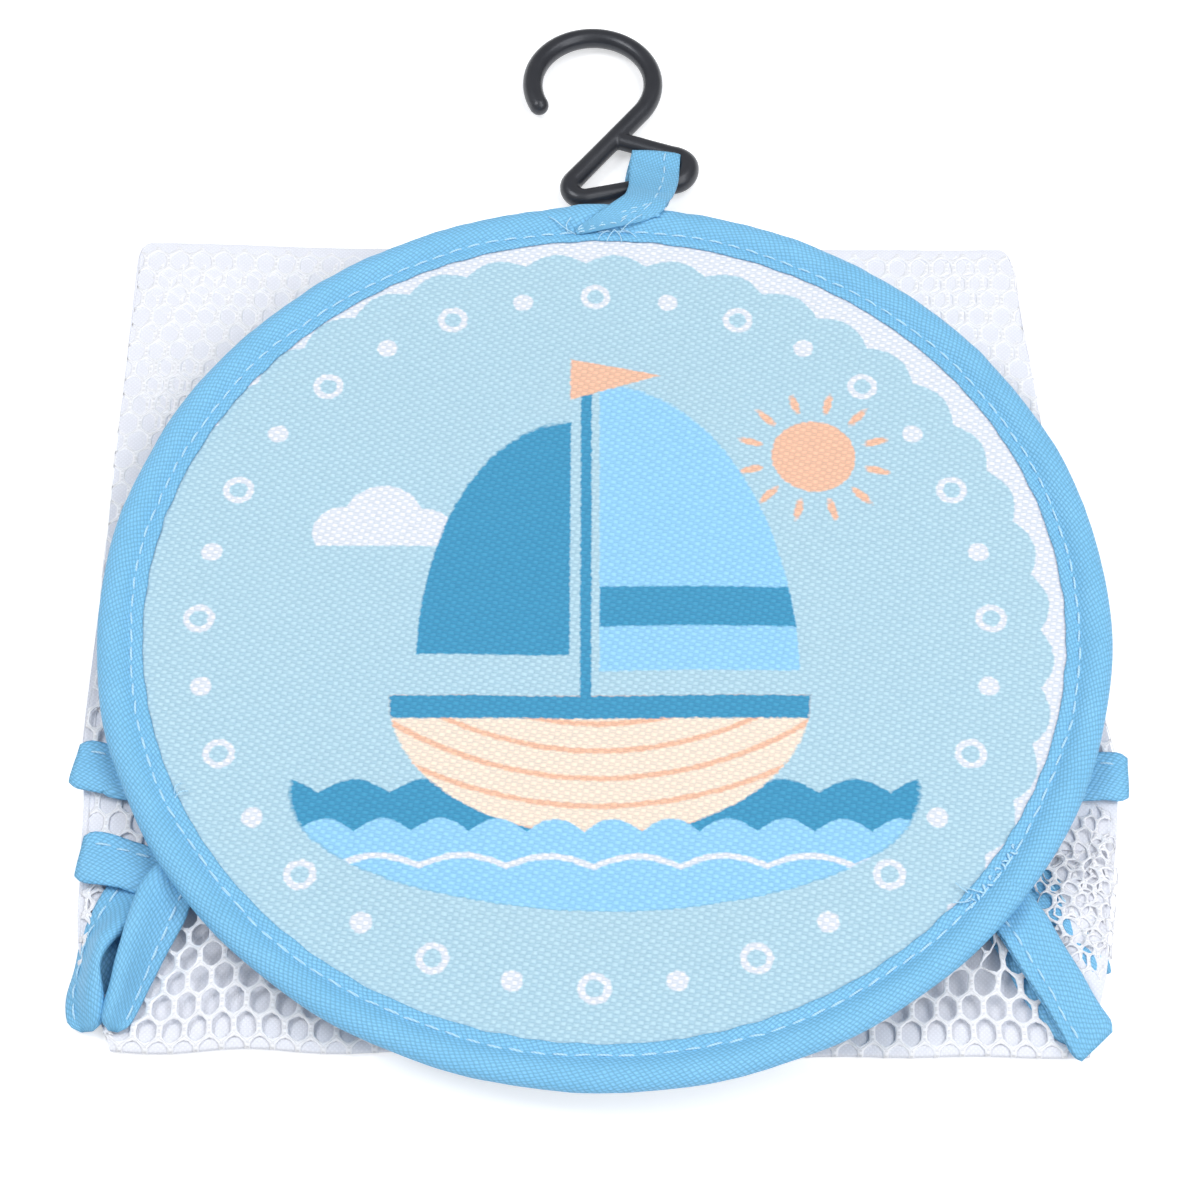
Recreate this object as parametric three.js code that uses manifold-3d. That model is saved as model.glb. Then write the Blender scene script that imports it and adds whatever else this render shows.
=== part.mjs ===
// A bath toy organizer, folded flat: a round canvas disc on a spring hoop, a net bag folded behind it,
// and a plastic hook on a ribbon loop. Millimetres. The disc's centre stands over the origin, +Y runs
// towards the hook and +Z up out of the disc's face. The pack lies on the plane z = 0.

import * as THREE from "three";
import { mergeVertices } from "three/addons/utils/BufferGeometryUtils.js";
import Module from "manifold-3d";

const DEGREE = Math.PI / 180;

// Clearances
const SEW_GAP = 0.2; // between a tape or sleeve and what it is sewn or crimped round
const LAYER_GAP = 0.3; // between one layer of the pack and the next
const TURN_GAP = 0.4; // round a piece that swings

// Disc
const DISC_DIAMETER = 220;
const CANVAS_THICKNESS = 0.6;
const RIM_WIDTH = 10; // how far the binding reaches in from the disc's edge
const RIM_TAPE = 0.6;
const RIM_ROUND = 108 * DEGREE; // how far round the hoop the binding is bent, to each side of the edge
const WIRE_DIAMETER = 2;
const WIRE_END_GAP = 0.8;
const SLEEVE_WALL = 0.35;
const SLEEVE_LENGTH = 14;
const HOOP_JOINT_ANGLE = -40 * DEGREE; // where the hoop's ends meet, seen from the front

// Net bag: insets are measured inwards from the disc's edge
const NET_THICKNESS = 0.6;
const NET_TOP_INSET = 6;
const NET_BOTTOM_INSET = 14;
const NET_LEFT_INSET = 0;
const NET_RIGHT_TOP_INSET = 13;
const NET_RIGHT_LOW_INSET = 4;
const LOWER_BAG_INSET = 4; // how far the folded lower half stays inside the pack's sides and top

// Net cells: upright hexagons in staggered rows
const CELL_PITCH = 5.2;
const ROW_PITCH = 4.9;
const CELL_SIDE = 2.9; // the upright side of a cell, between yarn centres
const YARN_WIDTH = 1.1;

// Binding tape, folded round the edge of a net
const TAPE_THICKNESS = 0.4;
const TAPE_WIDTH = 11.5;
const TAPE_GRIP = 4; // how deep the net's edge sits in the tape

// Mouth of the pouch: two arched lips that rise from the bottom fold
const LOWER_LIP_INSET = 7; // from the bag's side to the middle of the tape, at the bottom fold
const LOWER_LIP_RISE = 58;
const UPPER_LIP_INSET = 8;
const UPPER_LIP_RISE = 82;

// Pockets that hang from the top fold, with the tape's free edge at the bottom
const UPPER_POCKET_DROP = 35; // from the disc's centre down to the middle of the tape
const UPPER_POCKET_OVERHANG = 2; // how far its tape stands out past the bag's side
const UPPER_POCKET_RIGHT_OVERHANG = 6;
const LOWER_POCKET_DROP = 56;
const LOWER_POCKET_RIGHT_INSET = 10;

// Seam that carries the disc
const SEAM_LENGTH = 60;
const SEAM_WIDTH = 10;
const SEAM_INSET = 3; // from the disc's edge

// Ribbon loop
const RIBBON_THICKNESS = 0.8;
const RIBBON_WIDTH = 12.5;
const RIBBON_X = 10.7; // the ribbon's middle, right of the disc's centre line
const LOOP_REACH = 13.5; // from the loop's root to the hook's bar
const LOOP_SLACK = 1.7; // straight stretch of the loop on each side of the bar
const LOOP_REST = 0.2; // height of the loop's lowest point
const LEGS_PART = 0.3; // share of the way to the bar at which the loop's two legs part
const TAIL_LENGTH = 6;

// Hook: a round rod, bent flat
const ROD_DIAMETER = 4.7;
const UPPER_BAR_DIAMETER = 3.4;
const CROWN_RADIUS = 14.7;
const CROWN_START = 204 * DEGREE; // angle of the tip, seen from the crown's centre
const SHANK_HEADING = 232 * DEGREE;
const SHANK_LENGTH = 26.8;
const EYE_BEND_RADIUS = 3.4;
const BAR_HEADING = 13 * DEGREE;
const BAR_LENGTH = 21.5;
const BAR_LEFT = 15.7; // length of the bar left of the ribbon's middle
const END_BEND_RADIUS = 4.3;
const UPPER_BAR_HEADING = 161 * DEGREE;
const UPPER_BAR_LENGTH = 17.5;
const TIP_SWELL = 0.15; // how much the tip's ball stands proud of the rod

// Smoothness
const DISC_SIDES = 60;
const WIRE_SIDES = 8;
const ROD_SIDES = 8;
const ROD_STEPS = 84;
const ARCH_STEPS = 32;
const ARC_STEPS = 6;
const CHANNEL_STEPS = 7;
const LOOP_SIDES = 40;
const BALL_SIDES = 10;
const BALL_RINGS = 6;

// Sizes that follow from these
const discRadius = DISC_DIAMETER / 2;
const sleeveRadius = WIRE_DIAMETER / 2 + SEW_GAP + SLEEVE_WALL;
const channelRadius = sleeveRadius + SEW_GAP;
const rimHalf = channelRadius + RIM_TAPE;
const hoopRadius = discRadius - rimHalf;
const canvasSlit = CANVAS_THICKNESS / 2 + SEW_GAP;
const bindingThickness = NET_THICKNESS + 2 * (TAPE_THICKNESS + SEW_GAP);
const netInBinding = TAPE_THICKNESS + SEW_GAP; // the net's height above the binding's underside
const gripOffset = TAPE_WIDTH / 2 - TAPE_GRIP; // from the tape's middle to the net's edge

// Sides of the pack
const packTop = discRadius - NET_TOP_INSET;
const packBottom = -(discRadius - NET_BOTTOM_INSET);
const packLeft = -(discRadius - NET_LEFT_INSET);
const packRightTop = discRadius - NET_RIGHT_TOP_INSET;
const packRightLow = discRadius - NET_RIGHT_LOW_INSET;
const netTop = packTop - NET_THICKNESS - LAYER_GAP;
const netBottom = packBottom + NET_THICKNESS + LAYER_GAP;
const seamInset = NET_THICKNESS + LAYER_GAP;

// Heights of the layers, from the surface up
const lowerBackZ = 0;
const lowerFrontZ = lowerBackZ + NET_THICKNESS + LAYER_GAP;
const backNetZ = lowerFrontZ + NET_THICKNESS + LAYER_GAP;
const upperLipZ = backNetZ + NET_THICKNESS + LAYER_GAP;
const lowerPocketZ = upperLipZ + bindingThickness + LAYER_GAP;
const upperPocketZ = lowerPocketZ + netInBinding + NET_THICKNESS + LAYER_GAP;
const lowerLipZ = upperPocketZ + bindingThickness + LAYER_GAP;
const discZ = lowerLipZ + bindingThickness + LAYER_GAP + rimHalf;
const lowerLipNetZ = lowerLipZ + netInBinding;
const upperLipNetZ = upperLipZ + netInBinding;
const upperPocketNetZ = upperPocketZ + netInBinding;

const wasm = await Module();
wasm.setup();

const colours = {
  net: [0xf4f6fa, 0.8, 0],
  tape: [0x6fbcf0, 0.65, 0],
  canvas: [0xb9dde8, 0.85, 0],
  steel: [0xb8bcc2, 0.35, 1],
  plastic: [0x2b2c30, 0.35, 0],
};

const organizer = new THREE.Group();

function add(name, look, geometry) {
  const [color, roughness, metalness] = colours[look];
  const mesh = new THREE.Mesh(geometry, new THREE.MeshStandardMaterial({ color, roughness, metalness }));
  mesh.name = name;
  organizer.add(mesh);
  return mesh;
}

// Point at a distance along a heading.
function step(from, heading, length) {
  return new THREE.Vector2(from.x + length * Math.cos(heading), from.y + length * Math.sin(heading));
}

// Regular polygon that stands for a circle.
function circle(radius, sides) {
  const points = [];
  for (let i = 0; i < sides; i++) {
    points.push(step({ x: 0, y: 0 }, (2 * Math.PI * i) / sides, radius));
  }
  return points;
}

// Points of an arc, both ends included.
function arc(centre, radius, from, to, steps) {
  const points = [];
  for (let i = 0; i <= steps; i++) {
    points.push(step(centre, from + ((to - from) * i) / steps, radius));
  }
  return points;
}

// Outline of a band stretched round a set of circles.
function stretchedRound(circles, sides) {
  const points = [];
  for (let i = 0; i < sides; i++) {
    const heading = (2 * Math.PI * i) / sides;
    const reach = (c) => c.x * Math.cos(heading) + c.y * Math.sin(heading) + c.radius;
    const far = circles.reduce((a, b) => (reach(b) > reach(a) + 1e-9 ? b : a));
    points.push(step(far, heading, far.radius));
  }
  return points;
}

function block(x0, x1, y0, y1, z0, z1) {
  const box = new THREE.BoxGeometry(x1 - x0, y1 - y0, z1 - z0);
  return box.translate((x0 + x1) / 2, (y0 + y1) / 2, (z0 + z1) / 2);
}

// Flat sheet with the given outline, its underside at height z.
function sheet(outline, thickness, z, holes = []) {
  const shape = new THREE.Shape(outline);
  shape.holes = holes.map((hole) => new THREE.Path(hole));
  return new THREE.ExtrudeGeometry(shape, { depth: thickness, bevelEnabled: false }).translate(0, 0, z);
}

// Turns a closed geometry into a solid for joining.
function solid(geometry) {
  const bare = geometry.clone();
  bare.deleteAttribute("normal");
  bare.deleteAttribute("uv");
  const merged = mergeVertices(bare);
  const vertProperties = new Float32Array(merged.attributes.position.array);
  const triVerts = new Uint32Array(merged.index.array);
  return new wasm.Manifold(new wasm.Mesh({ numProp: 3, vertProperties, triVerts }));
}

function joined(geometries) {
  const mesh = geometries.map(solid).reduce((a, b) => a.add(b)).getMesh();
  const geometry = new THREE.BufferGeometry();
  geometry.setAttribute("position", new THREE.BufferAttribute(mesh.vertProperties, 3));
  geometry.setIndex(new THREE.BufferAttribute(mesh.triVerts, 1));
  return geometry;
}

// Part of a level circle round the disc's axis.
class HoopArc extends THREE.Curve {
  constructor(from, to) {
    super();
    this.from = from;
    this.to = to;
  }
  getPoint(t) {
    const angle = this.from + (this.to - this.from) * t;
    return new THREE.Vector3(hoopRadius * Math.cos(angle), hoopRadius * Math.sin(angle), discZ);
  }
}

// Half ellipse over the bottom fold, from left to right, moved outwards by an offset.
class Arch extends THREE.Curve {
  constructor(inset, rise, offset, z) {
    super();
    this.middle = (packLeft + packRightLow) / 2;
    this.half = (packRightLow - packLeft) / 2 - inset;
    this.rise = rise;
    this.offset = offset;
    this.z = z;
  }
  getPoint(t) {
    const angle = Math.PI * t;
    const out = new THREE.Vector2(-Math.cos(angle) / this.half, Math.sin(angle) / this.rise);
    out.setLength(this.offset);
    const x = this.middle - this.half * Math.cos(angle) + out.x;
    const y = netBottom + this.rise * Math.sin(angle) + out.y;
    return new THREE.Vector3(x, y, this.z);
  }
  outline() {
    return this.getPoints(ARCH_STEPS).map((p) => new THREE.Vector2(p.x, p.y));
  }
}

// Tape folded round an edge, along a level path. The slit opens to the left of the path or to its right.
function binding(path, steps, opensLeft) {
  const side = opensLeft ? 1 : -1;
  const slit = NET_THICKNESS / 2 + SEW_GAP;
  const half = bindingThickness / 2;
  const bottom = gripOffset - SEW_GAP;
  const profile = [
    [-half, -TAPE_WIDTH / 2],
    [half, -TAPE_WIDTH / 2],
    [half, TAPE_WIDTH / 2],
    [slit, TAPE_WIDTH / 2],
    [slit, bottom],
    [-slit, bottom],
    [-slit, TAPE_WIDTH / 2],
    [-half, TAPE_WIDTH / 2],
  ];
  const shape = new THREE.Shape(profile.map(([across, out]) => new THREE.Vector2(across, side * out)));
  return new THREE.ExtrudeGeometry(shape, { steps, extrudePath: path });
}

// Canvas disc, its hoop and its binding
function addDisc() {
  const canvasRadius = hoopRadius - sleeveRadius - SEW_GAP;
  const canvas = new THREE.CylinderGeometry(canvasRadius, canvasRadius, CANVAS_THICKNESS, DISC_SIDES);
  add("face_panel", "canvas", canvas.rotateX(Math.PI / 2).translate(0, 0, discZ));

  const rimInner = discRadius - RIM_WIDTH;
  const ringCentre = new THREE.Vector2(hoopRadius, 0);
  const open = Math.PI - Math.asin(canvasSlit / channelRadius);
  const outside = arc(ringCentre, rimHalf, -RIM_ROUND, RIM_ROUND, ARC_STEPS);
  const clearOfFacets = channelRadius / Math.cos(open / CHANNEL_STEPS);
  const inside = arc(ringCentre, clearOfFacets, open, -open, CHANNEL_STEPS);
  const profile = [
    new THREE.Vector2(rimInner, -canvasSlit - RIM_TAPE),
    ...outside,
    new THREE.Vector2(rimInner, canvasSlit + RIM_TAPE),
    new THREE.Vector2(rimInner, canvasSlit),
    ...inside,
    new THREE.Vector2(rimInner, -canvasSlit),
    new THREE.Vector2(rimInner, -canvasSlit - RIM_TAPE),
  ];
  const rim = new THREE.LatheGeometry(profile, DISC_SIDES);
  add("rim_binding", "tape", rim.rotateX(Math.PI / 2).translate(0, 0, discZ));

  const halfGap = WIRE_END_GAP / 2 / hoopRadius;
  const wirePath = new HoopArc(HOOP_JOINT_ANGLE + halfGap, HOOP_JOINT_ANGLE + 2 * Math.PI - halfGap);
  const wireShape = new THREE.Shape(circle(WIRE_DIAMETER / 2, WIRE_SIDES));
  const wire = new THREE.ExtrudeGeometry(wireShape, { steps: DISC_SIDES, extrudePath: wirePath });
  add("hoop_wire", "steel", wire);

  const halfSleeve = SLEEVE_LENGTH / 2 / hoopRadius;
  const sleevePath = new HoopArc(HOOP_JOINT_ANGLE - halfSleeve, HOOP_JOINT_ANGLE + halfSleeve);
  const sleeveShape = new THREE.Shape(circle(sleeveRadius, WIRE_SIDES));
  sleeveShape.holes.push(new THREE.Path(circle(sleeveRadius - SLEEVE_WALL, WIRE_SIDES)));
  const sleeve = new THREE.ExtrudeGeometry(sleeveShape, { steps: ARC_STEPS, extrudePath: sleevePath });
  add("hoop_sleeve", "steel", sleeve);

  const tail = new THREE.BoxGeometry(RIBBON_WIDTH, TAIL_LENGTH, RIBBON_THICKNESS);
  const tailZ = discZ + rimHalf + LAYER_GAP + RIBBON_THICKNESS / 2;
  add("loop_tail", "tape", tail.translate(RIBBON_X, hoopRadius - TAIL_LENGTH / 2, tailZ));
}

// One gap of the net: a hexagon between the yarns.
function cell(centre) {
  const halfWidth = (CELL_PITCH - YARN_WIDTH) / 2;
  const halfSide = (CELL_SIDE * halfWidth * 2) / CELL_PITCH / 2;
  const point = ROW_PITCH - CELL_SIDE / 2 - YARN_WIDTH / 2;
  const corners = [
    [0, point],
    [-halfWidth, halfSide],
    [-halfWidth, -halfSide],
    [0, -point],
    [halfWidth, -halfSide],
    [halfWidth, halfSide],
  ];
  return corners.map(([x, y]) => new THREE.Vector2(centre.x + x, centre.y + y));
}

function isInside(outline, point) {
  let inside = false;
  outline.forEach((a, i) => {
    const b = outline[(i + 1) % outline.length];
    const crosses = a.y > point.y !== b.y > point.y;
    if (crosses && point.x < a.x + ((b.x - a.x) * (point.y - a.y)) / (b.y - a.y)) inside = !inside;
  });
  return inside;
}

// A net with its gaps where it shows past the disc, below a given height in the plane.
function net(outline, z, gapsBelow) {
  const box = new THREE.Box2().setFromPoints(outline);
  const holes = [];
  const rows = Math.ceil((box.max.y - box.min.y) / ROW_PITCH);
  const columns = Math.ceil((box.max.x - box.min.x) / CELL_PITCH);
  for (let row = 0; row < rows; row++) {
    for (let column = 0; column < columns; column++) {
      const x = box.min.x + (column + 0.5 * (row % 2) + 0.5) * CELL_PITCH;
      const centre = new THREE.Vector2(x, box.min.y + (row + 0.5) * ROW_PITCH + YARN_WIDTH);
      const gap = cell(centre);
      const grown = 1 + YARN_WIDTH / CELL_PITCH;
      const margin = gap.map((p) => p.clone().sub(centre).multiplyScalar(grown).add(centre));
      const shows = centre.length() > discRadius && centre.y < gapsBelow;
      if (shows && margin.every((p) => isInside(outline, p))) holes.push(gap);
    }
  }
  return sheet(outline, NET_THICKNESS, z, holes);
}

// The bag's right side, which leans inwards towards the top.
function rightSide(y) {
  const share = (y - packBottom) / (packTop - packBottom);
  return packRightLow + (packRightTop - packRightLow) * share;
}

function corners(points) {
  return points.map(([x, y]) => new THREE.Vector2(x, y));
}

// The bag's back, its folds and its side seams
function addBag() {
  const outline = corners([
    [packLeft + seamInset, netBottom],
    [rightSide(netBottom) - seamInset, netBottom],
    [rightSide(netTop) - seamInset, netTop],
    [packLeft + seamInset, netTop],
  ]);
  add("back_net", "net", sheet(outline, NET_THICKNESS, backNetZ));

  const seamHeight = upperLipNetZ + NET_THICKNESS - backNetZ;
  const seamTop = backNetZ + seamHeight;
  const leftSeam = block(packLeft, packLeft + NET_THICKNESS, netBottom, netTop, backNetZ, seamTop);
  add("side_seam_left", "net", leftSeam);
  const rightSeam = corners([
    [rightSide(netBottom) - NET_THICKNESS, netBottom],
    [rightSide(netBottom), netBottom],
    [rightSide(netTop), netTop],
    [rightSide(netTop) - NET_THICKNESS, netTop],
  ]);
  add("side_seam_right", "net", sheet(rightSeam, seamHeight, backNetZ));

  const footTop = lowerLipNetZ + NET_THICKNESS;
  const foot = block(packLeft, packRightLow, packBottom, packBottom + NET_THICKNESS, backNetZ, footTop);
  add("bottom_fold", "net", foot);
  const headTop = upperPocketNetZ + NET_THICKNESS;
  const head = block(packLeft, packRightTop, packTop - NET_THICKNESS, packTop, backNetZ, headTop);
  add("top_fold", "net", head);
}

// The pouch's mouth: the net below it, the net above it and the tape on both lips
function addMouth() {
  const lowerNet = new Arch(LOWER_LIP_INSET, LOWER_LIP_RISE, -gripOffset, 0).outline();
  add("front_net", "net", net(lowerNet.reverse(), lowerLipNetZ, Infinity));
  const lowerPath = new Arch(LOWER_LIP_INSET, LOWER_LIP_RISE, 0, lowerLipZ + bindingThickness / 2);
  add("lower_lip_binding", "tape", binding(lowerPath, ARCH_STEPS, false));

  const upperEdge = new Arch(UPPER_LIP_INSET, UPPER_LIP_RISE, gripOffset, 0).outline();
  const sides = corners([
    [rightSide(netBottom) - seamInset, netBottom],
    [rightSide(netTop) - seamInset, netTop],
    [packLeft + seamInset, netTop],
    [packLeft + seamInset, netBottom],
  ]);
  const hiddenAbove = -LOWER_POCKET_DROP - TAPE_WIDTH / 2;
  add("upper_lip_net", "net", net([...upperEdge, ...sides], upperLipNetZ, hiddenAbove));
  const upperPath = new Arch(UPPER_LIP_INSET, UPPER_LIP_RISE, 0, upperLipZ + bindingThickness / 2);
  add("upper_lip_binding", "tape", binding(upperPath, ARCH_STEPS, true));
}

// A pocket: a net that hangs from the top fold and the straight tape on its lower edge
function addPocket(name, drop, left, right, z, gapsBelow) {
  const netEdge = -drop + gripOffset;
  const outline = corners([
    [left, netEdge],
    [right, netEdge],
    [packRightTop, netTop],
    [packLeft, netTop],
  ]);
  add("pocket_net_" + name, "net", net(outline, z + netInBinding, gapsBelow));
  const middle = z + bindingThickness / 2;
  const start = new THREE.Vector3(left, -drop, middle);
  const end = new THREE.Vector3(right, -drop, middle);
  add("pocket_binding_" + name, "tape", binding(new THREE.LineCurve3(start, end), 1, true));
}

function addPockets() {
  const lowerRight = packRightLow - LOWER_POCKET_RIGHT_INSET;
  const coveredAbove = -UPPER_POCKET_DROP - TAPE_WIDTH / 2;
  addPocket("lower", LOWER_POCKET_DROP, packLeft, lowerRight, lowerPocketZ, coveredAbove);
  const upperLeft = packLeft - UPPER_POCKET_OVERHANG;
  const upperRight = packRightLow + UPPER_POCKET_RIGHT_OVERHANG;
  addPocket("upper", UPPER_POCKET_DROP, upperLeft, upperRight, upperPocketZ, Infinity);
}

// Seam under the disc's top edge, which carries the disc on the net
function addSeam() {
  const outer = discRadius - SEAM_INSET;
  const low = upperPocketNetZ + NET_THICKNESS + LAYER_GAP;
  const high = discZ - rimHalf - LAYER_GAP;
  add("disc_seam", "tape", block(-SEAM_LENGTH / 2, SEAM_LENGTH / 2, outer - SEAM_WIDTH, outer, low, high));
}

// The lower half of the bag, folded up behind the rest
function addLowerBag() {
  const left = packLeft + LOWER_BAG_INSET;
  const end = packTop - LOWER_BAG_INSET;
  const hemStart = end - NET_THICKNESS;
  const outline = corners([
    [left, packBottom],
    [packRightLow - LOWER_BAG_INSET, packBottom],
    [packRightTop - LOWER_BAG_INSET, hemStart - LAYER_GAP],
    [left, hemStart - LAYER_GAP],
  ]);
  add("lower_bag_back", "net", sheet(outline, NET_THICKNESS, lowerBackZ));
  add("lower_bag_front", "net", sheet(outline, NET_THICKNESS, lowerFrontZ));
  const hemTop = lowerFrontZ + NET_THICKNESS;
  add("lower_bag_hem", "net", block(left, packRightTop - LOWER_BAG_INSET, hemStart, end, lowerBackZ, hemTop));
}

// Where the ribbon's root turns and where the hook's bar runs
const rootY = discRadius + TURN_GAP + RIBBON_THICKNESS;
const loopInside = ROD_DIAMETER / 2 + TURN_GAP;
const barY = rootY + LOOP_REACH;
const barZ = LOOP_REST + RIBBON_THICKNESS + loopInside;

// Ribbon loop, seen from the side: round at its root, and round the hook's bar with some slack
function addLoop() {
  const bar = { x: LOOP_REACH, y: barZ - discZ };
  const ends = [-LOOP_SLACK, LOOP_SLACK];
  const circlesOf = (radius) => ends.map((s) => ({ x: bar.x + s, y: bar.y, radius }));
  const root = { x: 0, y: 0, radius: RIBBON_THICKNESS };
  const legsPart = { x: bar.x * LEGS_PART, y: bar.y * LEGS_PART, radius: SEW_GAP };
  const outline = stretchedRound([root, ...circlesOf(loopInside + RIBBON_THICKNESS)], LOOP_SIDES);
  const hole = stretchedRound([legsPart, ...circlesOf(loopInside)], LOOP_SIDES);
  const ribbon = sheet(outline, RIBBON_WIDTH, -RIBBON_WIDTH / 2, [hole]);
  const mesh = add("hanging_loop", "tape", ribbon.rotateX(Math.PI / 2).rotateZ(Math.PI / 2));
  mesh.position.set(RIBBON_X, rootY, discZ);
}

// Hook, drawn flat from its tip to the end of the bar, with the ribbon's place on the bar at its own origin
function addHook() {
  const barStart = step({ x: 0, y: 0 }, BAR_HEADING, -BAR_LEFT);
  const bendCentre = step(barStart, BAR_HEADING + Math.PI / 2, EYE_BEND_RADIUS);
  const shankEnd = step(bendCentre, SHANK_HEADING - Math.PI / 2, EYE_BEND_RADIUS);
  const shankStart = step(shankEnd, SHANK_HEADING, -SHANK_LENGTH);
  const crownCentre = step(shankStart, SHANK_HEADING - Math.PI / 2, CROWN_RADIUS);
  const barEnd = step(barStart, BAR_HEADING, BAR_LENGTH);
  const endCentre = step(barEnd, BAR_HEADING + Math.PI / 2, END_BEND_RADIUS);
  const upperStart = step(endCentre, UPPER_BAR_HEADING - Math.PI / 2, END_BEND_RADIUS);
  const upperEnd = step(upperStart, UPPER_BAR_HEADING, UPPER_BAR_LENGTH);

  const crownEnd = SHANK_HEADING + Math.PI / 2 - 2 * Math.PI;
  const bendFrom = SHANK_HEADING - Math.PI / 2;
  const bendTo = BAR_HEADING + 2 * Math.PI - Math.PI / 2;
  const pieces = [
    [crownCentre, CROWN_RADIUS, CROWN_START, crownEnd, true],
    [bendCentre, EYE_BEND_RADIUS, bendFrom, bendTo, false],
    [endCentre, END_BEND_RADIUS, BAR_HEADING - Math.PI / 2, UPPER_BAR_HEADING - Math.PI / 2, false],
  ];
  const flat = new THREE.Path();
  pieces.forEach(([centre, radius, from, to, clockwise]) => {
    flat.absarc(centre.x, centre.y, radius, from, to, clockwise);
  });

  const rodPath = new THREE.Curve();
  rodPath.getPoint = (t) => {
    const p = flat.getPoint(t);
    return new THREE.Vector3(p.x, p.y, 0);
  };
  const rod = new THREE.Shape(circle(ROD_DIAMETER / 2, ROD_SIDES));
  const barShape = new THREE.Shape(circle(UPPER_BAR_DIAMETER / 2, ROD_SIDES));
  const barPath = new THREE.LineCurve3(
    new THREE.Vector3(upperStart.x, upperStart.y, 0),
    new THREE.Vector3(upperEnd.x, upperEnd.y, 0),
  );
  const tip = step(crownCentre, CROWN_START, CROWN_RADIUS);
  const ball = (spot, radius) => {
    return new THREE.SphereGeometry(radius, BALL_SIDES, BALL_RINGS).translate(spot.x, spot.y, 0);
  };
  const hook = joined([
    new THREE.ExtrudeGeometry(rod, { steps: ROD_STEPS, extrudePath: rodPath }),
    new THREE.ExtrudeGeometry(barShape, { steps: 1, extrudePath: barPath }),
    ball(tip, ROD_DIAMETER / 2 + TIP_SWELL),
    ball(upperStart, ROD_DIAMETER / 2),
  ]);
  const mesh = add("hook", "plastic", hook);
  mesh.position.set(RIBBON_X, barY, barZ);
}

addBag();
addMouth();
addPockets();
addSeam();
addLowerBag();
addDisc();
addLoop();
addHook();

export default organizer;
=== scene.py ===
import math
from functools import partialmethod

import bpy
import numpy as np
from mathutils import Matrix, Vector


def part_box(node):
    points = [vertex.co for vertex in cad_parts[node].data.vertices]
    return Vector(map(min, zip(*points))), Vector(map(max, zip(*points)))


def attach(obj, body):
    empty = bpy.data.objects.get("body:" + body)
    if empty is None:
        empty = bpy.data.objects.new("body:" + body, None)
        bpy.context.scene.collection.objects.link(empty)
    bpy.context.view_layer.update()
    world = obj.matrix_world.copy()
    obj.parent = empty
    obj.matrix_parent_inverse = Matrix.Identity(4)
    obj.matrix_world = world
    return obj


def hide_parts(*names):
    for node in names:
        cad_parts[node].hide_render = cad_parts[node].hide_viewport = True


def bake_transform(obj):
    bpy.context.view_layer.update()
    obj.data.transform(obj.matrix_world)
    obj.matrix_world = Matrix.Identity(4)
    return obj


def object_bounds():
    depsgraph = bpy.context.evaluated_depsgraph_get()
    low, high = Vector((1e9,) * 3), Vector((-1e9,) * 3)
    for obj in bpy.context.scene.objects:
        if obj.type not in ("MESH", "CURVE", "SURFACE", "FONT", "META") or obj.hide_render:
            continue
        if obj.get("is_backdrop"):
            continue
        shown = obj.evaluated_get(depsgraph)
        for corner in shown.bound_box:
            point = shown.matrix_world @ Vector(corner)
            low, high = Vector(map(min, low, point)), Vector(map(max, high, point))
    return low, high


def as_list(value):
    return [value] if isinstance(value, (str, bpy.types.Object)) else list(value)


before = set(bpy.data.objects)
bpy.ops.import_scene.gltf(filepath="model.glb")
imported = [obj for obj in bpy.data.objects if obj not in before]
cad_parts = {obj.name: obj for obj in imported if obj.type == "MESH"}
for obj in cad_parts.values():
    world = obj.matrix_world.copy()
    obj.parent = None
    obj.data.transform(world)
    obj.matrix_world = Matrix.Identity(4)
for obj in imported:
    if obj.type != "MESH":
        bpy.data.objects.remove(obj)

bl_info = {
    "name": "Bath toy organizer",
    "version": (1, 0, 0),
    "blender": (4, 5, 0),
    "location": "View3D > Sidebar > Organizer",
    "description": "Dresses the folded organizer's frame with its canvas, net, tape, ribbon and hook",
    "category": "Object",
}

CAD_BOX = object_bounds()
MM = 0.001
UP = np.array([0.0, 0.0, 1.0])
TURN = 2 * math.pi
UV_MM = 0.01  # UV units for each millimetre of cloth


def middle_of(node):
    """Centre of a frame node's box, in millimetres."""
    low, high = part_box(node)
    return np.array((low + high) / 2) / MM


def size_of(node):
    """Sides of a frame node's box, in millimetres."""
    low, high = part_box(node)
    return np.array(high - low) / MM


DISC_RADIUS = size_of("rim_binding")[0] / 2
DISC_Z = middle_of("face_panel")[2]
RIM_HALF = size_of("rim_binding")[2] / 2


def linear(red, green, blue):
    """A colour given in 0 to 255 steps, as Blender's linear light."""
    parts = np.array([red, green, blue]) / 255
    return tuple(np.where(parts <= 0.04045, parts / 12.92, ((parts + 0.055) / 1.055) ** 2.4))


# Settings that a user would change

def length(label, text, default_mm):
    return bpy.props.FloatProperty(
        name=label, description=text, default=default_mm * MM, unit="LENGTH", precision=5
    )


def colour(label, text, red, green, blue):
    return bpy.props.FloatVectorProperty(
        name=label, description=text, default=linear(red, green, blue), subtype="COLOR", min=0, max=1
    )


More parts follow.
